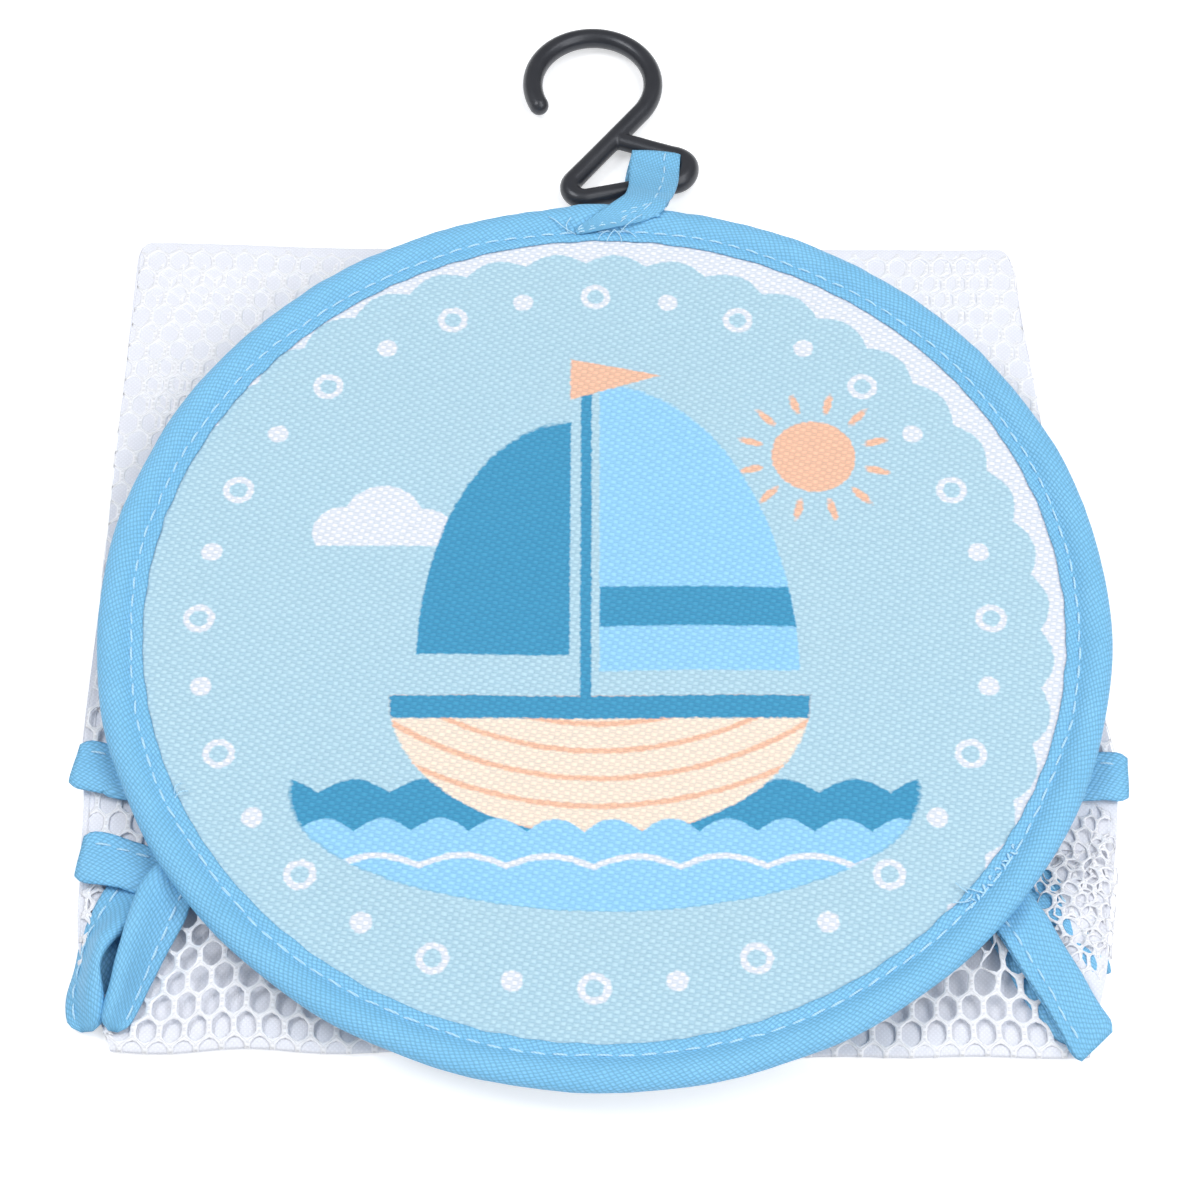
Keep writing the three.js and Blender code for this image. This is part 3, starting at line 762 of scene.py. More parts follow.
TAPE_STEP = 1.2  # length of tape between two rows of its points
SEAM_SHARE = 0.27  # the seam's distance from the tape's middle as a share of its width
SEAM_HEIGHT = 0.56  # height of the tape's top there


def tape_section(width, puff):
    """Half-folded tape seen from its end, from the open edge on top round the fold to the open edge
    below. The cloth is pinched at the seam near the open edges and stands fuller towards the fold."""
    top = smooth_line([
        (0.5, 0.66), (0.4, 0.7), (SEAM_SHARE, SEAM_HEIGHT), (0.1, 0.74), (-0.15, 0.95), (-0.34, 0.95),
        (-0.46, 0.6), (-0.5, 0.0),
    ], 15)
    fuller = 1 + (puff - 1) * ease(-top[:, 0], -0.25, 0.3)
    top = np.c_[top[:, 0] * width, top[:, 1] * fuller]
    return np.vstack([top, (top * [1, -0.85])[-2::-1]])


def inside_of(section, cloth):
    """The cloth's inner side: the same line, or row of lines, one thickness further in."""
    ahead = unit(np.gradient(section, axis=-2))
    return section + np.stack([-ahead[..., 1], ahead[..., 0]], -1) * cloth


def frames(line, lean):
    """Across and over directions of a strip on a path: level and square to it, then leaned round it."""
    ahead = unit(np.gradient(line, axis=0))
    level = unit(np.cross(UP, ahead))
    rise = np.cross(ahead, level)
    lean = np.radians(lean)[:, None]
    across = level * np.cos(lean) + rise * np.sin(lean)
    return across, np.cross(ahead, across)


def bound_tape(name, opens, body, node, seed, puff=1.0, cut=0.0, sewn=True, rounded=0.0):
    """Tape folded over a net's edge along its TAPE_KEYS. It opens to the path's left where opens is 1 and to
    its right where it is -1, and a seam runs near its open edges. Its ends are drawn in a little at the
    corners. The first end may be rounded, and the last may be cut aslant."""
    s = sizes()
    path = smooth_line([(*key, 1.0)[:5] for key in TAPE_KEYS[name]], 600)
    path = evenly(path, int(run_of(path)[-1] / TAPE_STEP))
    line, lean, share = path[:, :3], path[:, 3], path[:, 4]
    across, over = frames(line, lean)
    run = run_of(line)
    left = run[-1] - run
    wide = share * (1 + 0.03 * ripple(run, seed, 5, 18))
    wide = wide * (1 - 0.2 * bell(run, 1.1) - 0.2 * bell(left, 1.1))
    if rounded:
        wide = wide * (0.45 + 0.55 * np.sqrt(1 - np.clip(1 - run / rounded, 0, 1) ** 2))
    swell = 1 + 0.16 * ripple(run, seed + 1, 6, 14)
    swell = swell * (1 - 0.35 * bell(run, 1.0) - 0.35 * bell(left, 1.0))
    section = tape_section(s["tape_width"], puff)
    grown = np.stack([wide * opens, swell], -1)[:, None]
    outer, inner = section * grown, inside_of(section, s["tape_cloth"]) * grown
    if opens > 0:
        outer, inner = outer[:, ::-1], inner[:, ::-1]
    piece = sheet_along(name, line, across, over, outer, inner, cut * bell(left, 5))
    set_in_frame(piece, body, "tape", node)
    if sewn:
        seam = (SEAM_SHARE * s["tape_width"] + 0.15 * ripple(run, seed + 2, 4, 40)) * share
        on_top = line + across * (seam * opens)[:, None] + over * (SEAM_HEIGHT * swell)[:, None]
        stitches(name + "_stitches", on_top[2:-2], over[2:-2], body, seed=seed + 3)
    return piece


# Net

NET_COLUMNS = np.arange(-40, 41)
YARN_SIDE, YARN_TIP = 0.57, 0.8  # from the yarn's middle to the hole, at a cell's side and at its tip
CELL_LEAST = 0.8  # a cell with less of it inside the net's side is left out


def net_cells(low, high, left, right, keep=None, phase=(0.0, 0.0), joined=False):
    """Flat net between two lengths v and two side lines u(v): six-sided cells in staggered rows. A cell is
    a ring of yarn between its hole and the middle of the yarn that it shares with its neighbours. Returns
    the points as (u, v, height), the faces and the phase by which the cells are moved. Points beyond a
    side are drawn in to it. An edge is thinned to nothing, but where the net is joined to another at its
    low and high ends it keeps its height there."""
    s = sizes()
    p, q, side = s["cell_pitch"], s["row_pitch"], s["cell_side"]
    half = s["net_thickness"] / 2
    peak = q - side / 2
    hole_x, hole_y = p / 2 - YARN_SIDE, peak - YARN_TIP
    quarter_b = [(p / 2, 0), (p / 2, side / 2), (p / 4, (peak + side / 2) / 2), (0, peak)]
    corner = (hole_x - 0.14, side / 2 - 0.12)
    quarter_a = [(hole_x, 0), corner, (hole_x / 2 + 0.06, hole_y - 0.44), (0, hole_y)]

    def whole(quarter):
        quarter = np.array(quarter)
        flipped = quarter[::-1] * [-1, 1]
        upper = np.vstack([quarter, flipped[1:]])
        return np.vstack([upper, (upper * -1)[1:-1]])

    b, a = whole(quarter_b), whole(quarter_a)
    rows = np.arange(math.ceil((low - phase[1]) / q), math.ceil((high - phase[1]) / q))
    i, j = np.meshgrid(NET_COLUMNS, rows)
    cu = (i + 0.5 * (j % 2)).ravel() * p + phase[0]
    cv = j.ravel() * q + phase[1]
    shown = (cu > left(cv) - p / 2 + CELL_LEAST) & (cu < right(cv) + p / 2 - CELL_LEAST)
    if keep is not None:
        shown &= keep(cu, cv)
    cu, cv = cu[shown], cv[shown]
    around = len(b)
    heights = [half, 0.45 * half, -0.45 * half, -half]
    centres = np.stack([cu, cv], -1)[:, None]
    rings = [
        np.concatenate([centres + ring, np.full((len(cu), around, 1), h)], -1)
        for ring, h in zip((b, a, a, b), heights)
    ]
    points = np.stack(rings, 1).reshape(-1, 3)
    points[:, 0] = np.clip(points[:, 0], left(points[:, 1]), right(points[:, 1]))
    k = np.arange(around)
    k2 = (k + 1) % around
    quads = [
        np.stack([r + around + k, r + k, r + k2, r + around + k2], -1) for r in np.arange(3) * around
    ]
    faces = (np.arange(len(cu))[:, None, None] * 4 * around + np.vstack(quads)[None]).reshape(-1, 4)
    points, faces = welded(points, faces)
    rim = np.unique(open_edges(faces))
    if joined:
        first, last = cv.min() - side / 2 + 0.01, cv.max() + side / 2 - 0.01
        rim = rim[(points[rim, 1] > first) & (points[rim, 1] < last)]
    points[rim, 2] = 0
    points, faces = welded(points, faces)
    return points, [faces, *walls(points, faces)], phase


def open_edges(faces):
    """Edges that belong to one face only, each in its face's own direction."""
    edges = np.stack([faces, np.roll(faces, -1, 1)], -1).reshape(-1, 2)
    edges = edges[edges[:, 0] != edges[:, 1]]
    _, index, uses = np.unique(np.sort(edges, 1), axis=0, return_inverse=True, return_counts=True)
    return edges[uses[index.ravel()] == 1]


def walls(points, faces):
    """Upright faces that close a net's open edges, each from an edge on top to the one below it: the quads,
    and the triangles where one end of the edge is thinned to nothing."""
    edges = open_edges(faces)
    heights = points[edges, 2]
    start, end = edges[(heights.min(1) >= 0) & (heights.max(1) > 0)].T
    both = np.round(np.vstack([points, points * [1, 1, -1]]) * 1000).astype(np.int64)
    index = np.unique(both, axis=0, return_inverse=True)[1].ravel()
    owner = np.zeros(index.max() + 1, int)
    owner[index[:len(points)]] = np.arange(len(points))
    below = owner[index[len(points):]]
    whole = (below[start] != start) & (below[end] != end)
    quads = np.stack([end, start, below[start], below[end]], -1)[whole]
    third = np.where(below[start] == start, below[end], below[start])
    return quads, np.stack([end, start, third], -1)[~whole]


def welded(points, faces):
    """Merges points at the same place and drops faces with no area left."""
    keys = np.round(points * 1000).astype(np.int64)
    keys, first, index = np.unique(keys, axis=0, return_index=True, return_inverse=True)
    points, faces = points[first], index.ravel()[faces]
    c = points[faces]
    area = np.linalg.norm(np.cross(c[:, 2] - c[:, 0], c[:, 3] - c[:, 1]), axis=1)
    return points, faces[area > 1e-3]


CLOTH_CREASE = math.radians(80)  # edges are sharper than this
CLOTH_ROWS = 120


def laid_net(name, cells, surface, body, declare):
    """Lays the flat net of a frame node on a surface: each point goes to surface(u, v) and stands off it
    along the normal by its height."""
    s = sizes()
    flat, faces, phase = cells
    u, v, h = flat.T
    points = surface(u, v) + normal_of(surface, u, v) * h[:, None]
    uv = (flat[:, :2] - phase) / [s["cell_pitch"], s["row_pitch"]]
    piece = add_piece(name + "_yarn", points, faces, material_of("net"), uv)
    piece.data.set_sharp_from_angle(angle=CLOTH_CREASE)
    set_in_frame(piece, body, "net", name)
    (width, long), held, rests_on = declare
    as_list(rests_on)
    return piece


def normal_of(surface, u, v):
    """Unit normal of a surface, from its slopes along u and v."""
    nudge = 0.05
    along_u = surface(u + nudge, v) - surface(u - nudge, v)
    along_v = surface(u, v + nudge) - surface(u, v - nudge)
    return unit(np.cross(along_u, along_v))


def plain_sheet(name, surface, left, right, lengths, thick, body, node, declare):
    """Plain cloth between two side lines: a grid over a surface with rows at the given lengths, one layer to
    each side of it by half the cloth's thickness, closed along its edges."""
    a, v = np.meshgrid(np.linspace(0, 1, CLOTH_ROWS), lengths, indexing="ij")
    u = left(v) + a * (right(v) - left(v))
    here, normal = surface(u, v), normal_of(surface, u, v)
    points, *faces = layered(here + normal * thick / 2, here - normal * thick / 2)
    uv = np.tile(np.stack([u, v], -1).reshape(-1, 2), (2, 1)) * UV_MM
    piece = add_piece(name, points, faces, material_of("backing"), uv)
    piece.data.set_sharp_from_angle(angle=CLOTH_CREASE)
    set_in_frame(piece, body, "net", node)
    (width, long), held, rests_on = declare
    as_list(rests_on)
    return piece


def side_line(*keys):
    """Side of a net as u for each v, through (v, u) keys."""
    keys = np.array(sorted(keys), float)
    return lambda v: np.interp(v, keys[:, 0], keys[:, 1])


SIDE_BEND = 2.2  # radius of the bend past a strip's sides


def past_sides(surface, left, right):
    """Carries a surface on past a net's two sides, where it bends down. The normals at the net's edges
    follow from this."""
    def carried(u, v):
        inside = np.clip(u, left(v), right(v))
        turn = (u - inside) / SIDE_BEND
        out, drop = SIDE_BEND * np.sin(turn), SIDE_BEND * (1 - np.cos(turn))
        return surface(inside, v) + np.stack([out, 0 * out, -drop], -1)

    return carried


PRESSED = 2.4  # height at which the layers are pressed together


def packed(level, x, y):
    """Height of a layer: as stacked between the lips under the disc, and pressed together above them and
    where the pack lies free of the disc."""
    above = 0.9 * ease(y, -34, 14) * ease(np.abs(x), 30, 58)
    beside = 0.5 * ease(np.hypot(x, y), DISC_RADIUS - 6, DISC_RADIUS + 16)
    return level - np.maximum(above, beside) * np.maximum(level - PRESSED, 0)


def wander(x, y, seed, amount=0.55):
    """Small drift of a net's cells in its own plane."""
    return amount * ripple_2d(x, y, seed, 6, 38), amount * ripple_2d(x, y, seed + 50, 6, 38)


def uneven(x, y):
    """Soft unevenness that all layers of the pack share."""
    return ripple_2d(x, y, 77, 5, 45)


# The long strip of net: pocket front, over the top, down the back, round the inner fold, up the lower
# bag's front, over its hem, down its back, round the outer fold and up the pouch's front. The back and the
# inner fold are stretches of the line only: the white cloth takes their place.

LINE_PARTS = 24  # points from one key of a line to the next

STRIP_KEYS = {
    "pocket_net_upper": [(-34.0, 7.2), (40.0, 7.2), (98.0, 7.3)],
    "top_fold": [(102.8, 7.0), (104.0, 5.6), (104.2, 4.0), (102.8, 2.5)],
    "back_net": [(98.0, 2.1), (0.0, 2.1), (-91.5, 2.1)],
    "inner_fold": [(-94.0, 2.1), (-94.9, 1.65), (-94.0, 1.2)],
    "lower_bag_front": [(-91.5, 1.2), (0.0, 1.2), (97.4, 1.2)],
    "lower_bag_hem": [(99.0, 1.1), (99.5, 0.75), (99.0, 0.4)],
    "lower_bag_back": [(97.4, 0.32), (0.0, 0.32), (-91.0, 0.32)],
    "bottom_fold": [(-95.0, 0.34), (-96.6, 0.9), (-96.9, 1.6), (-95.8, 2.4)],
    "front_net": [(-92.0, 3.2), (-86.0, 4.6), (-78.0, 6.8), (-70.0, 8.4), (-62.0, 9.2), (-36.0, 9.3)],
}


def softened(keys):
    """A (y, z) line through the keys with its corners rounded, and its length up to each point."""
    keys = np.array(keys, float)
    parts = np.linspace(0, 1, LINE_PARTS, endpoint=False)[:, None]
    fine = [first + (last - first) * parts for first, last in zip(keys[:-1], keys[1:])]
    weights = np.hanning(9)
    weights /= weights.sum()
    rows = np.vstack([*fine, keys[-1:]]).T
    line = np.stack([np.convolve(np.pad(row, 4, mode="edge"), weights, "valid") for row in rows], -1)
    return line, run_of(line)


def strip_path():
    """The strip's (y, z) line with its length, and the lengths at which each stretch starts and ends."""
    line, run = softened([key for stretch in STRIP_KEYS.values() for key in stretch])
    spans, start = {}, 0
    for name, stretch in STRIP_KEYS.items():
        end = start + len(stretch)
        spans[name] = (run[start * LINE_PARTS], run[min(end * LINE_PARTS, len(run) - 1)])
        start = end
    return line, run, spans


# Left end of the lower lip: a point of the tape's open edge, the way off it, and its height at each y
LIP_SPOT = (-84.8, -66.7)
LIP_SIDE = (0.878, -0.479)
LIP_DIP = [(-96, 2.3), (-90, 2.5), (-85.6, 2.7), (-79, 3.2), (-69.4, 5.5), (-62, 8.6), (-52, 12.0)]


def past_lip(x, y):
    """Distance off the tape's open edge at the lower lip's left end."""
    return (x - LIP_SPOT[0]) * LIP_SIDE[0] + (y - LIP_SPOT[1]) * LIP_SIDE[1]


def top_shift(x, y):
    """The pack's top edge rises to the left."""
    return 2.1 * ease(-x, 45, 107) * ease(y, 70, 104)


def foot_shift(x, y):
    """The pack's bottom edge waves, and drops to the right."""
    return ease(y, -62, -90) * (-0.4 - 1.3 * ease(x, -20, 60) + 0.45 * ripple(x, 9, 3, 34))


BUNCH_SPOT = (79.0, -76.0)  # middle of the bunched net beside the lip's right limb
STRIP_SEED = 1


def strip_surface():
    """Surface of the strip: u runs across the bag and v along the strip's own line. The pouch's front
    dips towards the left end of its lip, to the height of the tape's open edge."""
    soft, run, spans = strip_path()
    fold_start = spans["bottom_fold"][0]
    dip_line = side_line(*LIP_DIP)

    def surface(u, v):
        y, z = [np.interp(v, run, column) for column in soft.T]
        dx, dy = wander(u, y, STRIP_SEED)
        flat = ease(np.abs(y - 4), 100, 92)
        front = v > fold_start
        bunch = 1.6 * front * bell(u - BUNCH_SPOT[0], 8) * bell(y - BUNCH_SPOT[1], 6)
        dx = dx + bunch * ripple_2d(u, y, 71, 6, 9)
        dy = dy + bunch * ripple_2d(u, y, 72, 6, 9)
        z = np.where(front, z, packed(z, u, y)) + 0.1 * flat * uneven(u, y)
        dip = dip_line(y) + 0.5 * np.maximum(past_lip(u, y), 0)
        z = np.where(front, np.minimum(z, dip), z)
        shift = top_shift(u, y) + foot_shift(u, y)
        return np.stack([u + dx * flat, y + dy * flat + shift, z], -1)

    return surface


# Outlines of the pack as (y, x), read at its sides

CLOTH_LEFT = [
    (106.2, -105), (106, -107.2), (105.2, -109.3), (103.6, -110.7), (101, -111.3), (44, -111.7), (0, -112),
    (-30, -112.2), (-42, -110.6), (-66, -110.1), (-73, -109.5), (-80, -107.6), (-86, -105.6), (-92, -102.5),
    (-97, -100.5),
]
CLOTH_RIGHT = [
    (106.2, 92), (106, 93.6), (105.2, 95.4), (103.6, 96.7), (101, 97.3), (52, 101), (0, 105.4), (-36, 109.6),
    (-50, 108.2), (-60, 106.6), (-71, 104.6), (-80, 103.4), (-88, 100.8), (-97, 98.6),
]
PACK_LEFT = [(y, x + 0.35) for y, x in CLOTH_LEFT]
PACK_RIGHT = [(y, x - 0.35) for y, x in CLOTH_RIGHT]
BACK_LEFT = [
    (104, -107.5), (0, -109.4), (-60, -109.2), (-78, -108.4), (-86, -106), (-92, -102.5), (-97, -100.5),
]
BACK_RIGHT = [(104, 95.5), (52, 99.3), (0, 103), (-60, 104.6), (-80, 103), (-88, 100.8), (-97, 98.6)]
LIP_LEFT = [(104, -107.5), (0, -109.3), (-61, -109.9), (-74, -108.8), (-97, -108.4)]
LIP_RIGHT = [(104, 94.6), (52, 98), (0, 103), (-34, 108), (-46, 122), (-70, 123), (-100, 119), (-112, 112)]
POCKET_LEFT = [(103, -107.2), (0, -109.6), (-40, -109.8), (-57, -109.2)]
POCKET_RIGHT = [(103, 94.6), (50, 98), (0, 102), (-34, 107), (-47, 120), (-70, 120), (-106, 112)]


def along_line(outline, line, run):
    """A pack side given by y, as u for each length along a (y, z) line."""
    side = side_line(*outline)
    return lambda v: side(np.interp(v, run, line[:, 0]))


def strip_piece(name, body, declare, keep=None, outline=(BACK_LEFT, BACK_RIGHT)):
    """One stretch of the strip, which goes on in the next one at its two ends."""
    line, run, spans = strip_path()
    left, right = [along_line(side, line, run) for side in outline]
    cells = net_cells(*spans[name], left, right, keep, joined=True)
    return laid_net(name, cells, past_sides(strip_surface(), left, right), body, declare)


# Outline of the crumpled net to the right of the lips as (y, x)
CRUMPLE_SIDE = [
    (-86, 102.2), (-81, 104.8), (-71, 105.6), (-60, 108), (-48, 109.8), (-42, 110.8), (-34, 112),
]
CRUMPLE_X = 84.0  # the crumple's nets are drawn in towards this side of it
CRUMPLE_FOOT, CRUMPLE_TOP = -87, -36  # it ends at this y, and its outline holds below the other
CRUMPLE_SOFT = 0.9  # distance over which points are drawn in


def crumpled(u, v, start, foot, pull, seed):
    """How the crumple moves a net's points: in towards its side and up from its foot by a share of their
    distance, with seeded waves. Returns how far it takes hold, the two moves and the waves of its height."""
    gather = ease(u, start, start + 12) * ease(v, -28, -40)
    dx = gather * (0.5 * ripple_2d(u, v, seed, 6, 12) - pull[0] * np.maximum(u - CRUMPLE_X, 0))
    dy = gather * (pull[1] * np.maximum(foot - v, 0) + 0.4 * ripple_2d(u, v, seed + 2, 6, 12))
    return gather, dx, dy, 0.5 * ripple_2d(u, v, seed + 1, 6, 11)


def drawn_in(spots):
    """Draws the crumple's edge in to its outline, so that its yarn lies close there."""
    x, y, z = np.moveaxis(spots, -1, 0)
    y = np.where(x > 80, np.logaddexp(y - CRUMPLE_FOOT, 0) + CRUMPLE_FOOT, y)
    side = side_line(*CRUMPLE_SIDE)(y)
    drawn = side - CRUMPLE_SOFT * np.logaddexp((side - x) / CRUMPLE_SOFT, 0)
    x = np.where(y < CRUMPLE_TOP, drawn, x)
    return np.stack([x, y, z], -1)


ARCH_MIDDLE, ARCH_FOOT = -2.0, -95.0
LOWER_LIP, UPPER_LIP = (97.0, 55.0), (103.0, 84.5)  # half widths and heights of the lips' arches


def over_arch(x, y, half, rise):
    """Above 1 outside a half ellipse that stands on the bottom fold, and below 1 inside it."""
    return ((x - ARCH_MIDDLE) / half) ** 2 + (np.maximum(y - ARCH_FOOT, 0) / rise) ** 2


# Paths of the tapes as (x, y, z, lean in degrees, share of the full width). A share left out is 1.

SEAM_LOW, SEAM_HIGH = [np.array(corner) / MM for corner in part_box("disc_seam")]
SEAM_Y, SEAM_Z = (SEAM_LOW + SEAM_HIGH)[1:] / 2

TAPE_KEYS = {
    "pocket_tape_upper": [
        (-113.0, -34.0, 6.6, 0), (-109, -34.8, 6.9, 0), (-104, -36.2, 7.1, -2), (-98, -37.6, 7.2, 0),
        (-60, -38, 7.2, 0), (0, -37, 7.2, 0), (60, -37.5, 7.2, 0), (98, -37.6, 7.2, 0), (106, -37.2, 6.9, 0),
        (111.4, -37.4, 6.4, 2),
    ],
    "pocket_tape_lower": [
        (-110.2, -55.3, 5.6, 2), (-105, -56.1, 5.9, 0), (-99.5, -57.6, 6.0, -2), (-94, -59.2, 5.8, 0),
        (-80, -60, 5.7, 0), (0, -58.5, 5.7, 0), (70, -57, 5.0, 0), (87, -60.5, 3.8, 0),
        (95.0, -67, 3.75, 0, 0.65), (99.6, -75, 3.75, 0, 0.5), (102.4, -81.4, 3.8, 0, 0.45),
    ],
    "lower_lip_tape": [
        (-100.2, -93.4, 3.4, 14, 0.48), (-99.4, -90.2, 4.5, 30, 0.6), (-97.8, -85.6, 5.6, 42, 0.74),
        (-95.8, -79, 6.7, 40, 0.9), (-92.4, -69.4, 8.1, 24), (-88.6, -62, 9.1, 6), (-75, -51, 9.3, 0),
        (-50, -42.5, 9.3, 0), (0, -37.5, 9.3, 0), (46, -43, 9.3, 0), (68, -53.5, 9.3, 0),
        (79.5, -63.5, 9.3, 0), (85.5, -71.2, 8.9, -4), (89, -77.5, 8.1, -8), (93, -84.5, 6.8, -10),
        (97.0, -91.6, 5.2, -8), (100.0, -97.0, 4.3, -2, 0.95),
    ],
    "upper_lip_tape": [
        (-105.6, -93.0, 2.2, -10, 0.62), (-106.0, -89.8, 3.2, -32, 0.82), (-106.5, -84.5, 4.3, -46, 0.95),
        (-106.2, -79, 5.0, -54), (-104.6, -73.5, 5.2, -44), (-101.6, -68.5, 5.0, -22),
        (-98.8, -63.5, 4.4, -8), (-95.5, -55, 3.6, 0), (-84, -40, 3.6, 0), (-60, -24, 3.6, 0),
        (0, -12.5, 3.6, 0), (52, -25, 3.6, 0), (72, -43, 3.6, 0), (83, -66, 3.4, 0), (89.4, -80.5, 3.2, 0),
        (94, -88.5, 3.0, 0), (97.2, -93.8, 2.7, 0, 0.9),
    ],
    "mouth_corner_tape": [
        (-101.6, -91.0, 1.9, 0, 0.45), (-101.8, -87, 2.1, 10, 0.55), (-101.4, -81, 2.3, 16, 0.6),
        (-99.6, -74, 2.6, 16, 0.65), (-96.5, -66, 2.9, 8, 0.7), (-94, -61, 3.1, 0, 0.7),
    ],
    "disc_seam_tape": [
        (SEAM_LOW[0], SEAM_Y, SEAM_Z, 0), (0, SEAM_Y + 0.4, SEAM_Z, 0), (SEAM_HIGH[0], SEAM_Y, SEAM_Z, 0),
    ],
}


# Operators

FLOOR_REACH, FLOOR_Z, FLOOR_COLOUR = 4.0, -0.0001, (0.82, 0.83, 0.85, 1)
FLOOR_GLOW, FAR_GLOW = 0.45, 0.35  # under the object, and what is added to it far away
FAR_START, FAR_LENGTH = 0.5, 0.6  # distance at which the glow starts to grow, and over which it grows
SKY_COLOUR = (0.96, 0.98, 1.0, 1)
SKY_LIGHT, SKY_SEEN = 0.48, 1.05  # the sky's strength as a light, and as the camera sees it
LIGHTS = (  # name, place, side and power
    ("key_light", (-0.62, 0.05, 1.05), 0.5, 5.9),
    ("fill_light", (0.75, -0.6, 0.95), 0.8, 6.5),
    ("top_light", (0.5, 0.05, 1.2), 0.7, 4.8),
)
CAMERA_AIM, CAMERA_DISTANCE = (-0.000918, 0.010239, 0), 0.62997
CAMERA_RISE = math.radians(59.875)
CAMERA_LENS, CAMERA_SENSOR = 84.66, 36


def rays_of(tree, *kinds):
    """1 for rays of the named kinds and 0 for others."""
    path = tree.nodes.new("ShaderNodeLightPath")
    first, *others = [Field(tree, path.outputs[f"Is {kind} Ray"]) for kind in kinds]
    for other in others:
        first = first.most(other)
    return first


class ORGANIZER_OT_stage(bpy.types.Operator):
    """Lay the pale floor, set the soft lights and the camera."""

    bl_idname = "organizer.stage"
    bl_label = "Stage"

    def execute(self, context):
        self.lay_floor()
        world = bpy.data.worlds.new("studio")
        world.use_nodes = True
        context.scene.world = world
        tree = world.node_tree
        seen = rays_of(tree, "Camera", "Transmission")
        feed(tree.nodes["Background"], Color=SKY_COLOUR, Strength=seen.blend(SKY_LIGHT, SKY_SEEN))
        for name, spot, side, power in LIGHTS:
            lamp = bpy.data.lights.new(name, "AREA")
            lamp.size = side
            lamp.energy = power
            light = link_object(name, lamp)
            light.location = spot
            light.rotation_euler = Vector(spot).to_track_quat("Z", "Y").to_euler()
        lens = bpy.data.cameras.new("camera")
        lens.sensor_width = CAMERA_SENSOR
        lens.lens = CAMERA_LENS
        camera = link_object("camera", lens)
        back = Vector((0, -math.cos(CAMERA_RISE), math.sin(CAMERA_RISE)))
        camera.location = Vector(CAMERA_AIM) + back * CAMERA_DISTANCE
        camera.rotation_euler = (math.pi / 2 - CAMERA_RISE, 0, 0)
        context.scene.camera = camera
        context.scene.view_settings.view_transform = "Standard"
        return {"FINISHED"}

    def lay_floor(self):
        """A pale square that glows white where it is seen, and more so far away, but lights nothing."""
        mesh = bpy.data.meshes.new("floor")
        corners = [(-1, -1), (1, -1), (1, 1), (-1, 1)]
        spots = [(x * FLOOR_REACH, y * FLOOR_REACH, FLOOR_Z) for x, y in corners]
        mesh.from_pydata(spots, [], [(0, 1, 2, 3)])
        floor = link_object("floor", mesh)
        floor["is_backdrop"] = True
        material, tree, shader = new_material(
            "pale_floor", 0.9, Base_Color=FLOOR_COLOUR, Specular_IOR_Level=0.0
        )
        glow = tree.nodes.new("ShaderNodeEmission")
        seen = rays_of(tree, "Camera", "Glossy", "Transmission")
        x, y = split(tree, place_of(tree, "Object"), 1.0)
        far = ((from_point(x, y, 0.0, 0.0) - FAR_START) / FAR_LENGTH).math("MULTIPLY", 1.0, clamp=True)
        feed(glow, Color=(1, 1, 1, 1), Strength=seen * (far * FAR_GLOW + FLOOR_GLOW))
        both = tree.nodes.new("ShaderNodeAddShader")
        put(both.inputs[0], shader.outputs[0])
        put(both.inputs[1], glow.outputs[0])
        feed(tree.nodes["Material Output"], Surface=both.outputs[0])
        mesh.materials.append(material)


CANVAS_ROWS, CANVAS_HALF = 121, 0.3  # points along one side of its grid, and half its thickness
CREASE_SPOT = (-26, -88)  # middle of the small crease near the canvas's lower edge


class ORGANIZER_OT_canvas_face(bpy.types.Operator):
    """Stretch the printed canvas inside the rim: a square grid drawn out to a round one, with slack."""

    bl_idname = "organizer.canvas_face"
    bl_label = "Canvas face"

    def execute(self, context):
        radius = size_of("face_panel")[0] / 2 - 0.4
        a, b = np.meshgrid(*[np.linspace(-1, 1, CANVAS_ROWS)] * 2, indexing="ij")
        x = a * np.sqrt(1 - b * b / 2) * radius
        y = b * np.sqrt(1 - a * a / 2) * radius
        out = np.hypot(x, y)
        z = 0.3 * (1 - ease(out, 70, 99)) * ripple_2d(x, y, 5, 6, 60)
        dx, dy = x - CREASE_SPOT[0], y - CREASE_SPOT[1]
        crease = bell(dx * 0.8 + dy * 0.6, 1.6) * bell(dy * 0.8 - dx * 0.6, 9)
        z = z - 0.35 * crease * ease(out, 99, 94) + DISC_Z
        points, *faces = layered(*[np.stack([x, y, z + half], -1) for half in (CANVAS_HALF, -CANVAS_HALF)])
        piece = add_piece("face_panel_canvas", points, faces, material_of("canvas"))
        piece.data.materials.append(material_of("canvas_back"))
        is_back = np.repeat([0, 1, 0], [len(group) for group in faces])
        piece.data.polygons.foreach_set("material_index", is_back.astype(np.int32))
        set_in_frame(piece, "disc", "canvas", "face_panel")
        return {"FINISHED"}


RIM_ROWS = 560
RIM_SEAM, RIM_MIDDLE = 102.7, 105.5  # radii of the rim's seam and of its middle
RIM_JOIN = math.radians(-38)  # where the rim tape's ends meet
LOOP_ANGLE = math.radians(91)  # where the ribbon is sewn under the rim's tape
RIM_KEYS = [
    (100.0, 0.6), (100.3, 0.98), (101.3, 1.05), (102.7, 0.72), (103.8, 1.4), (105.2, 2.12), (106.9, 2.38),
    (108.6, 1.95), (109.65, 1.05), (110.0, 0.0),
]


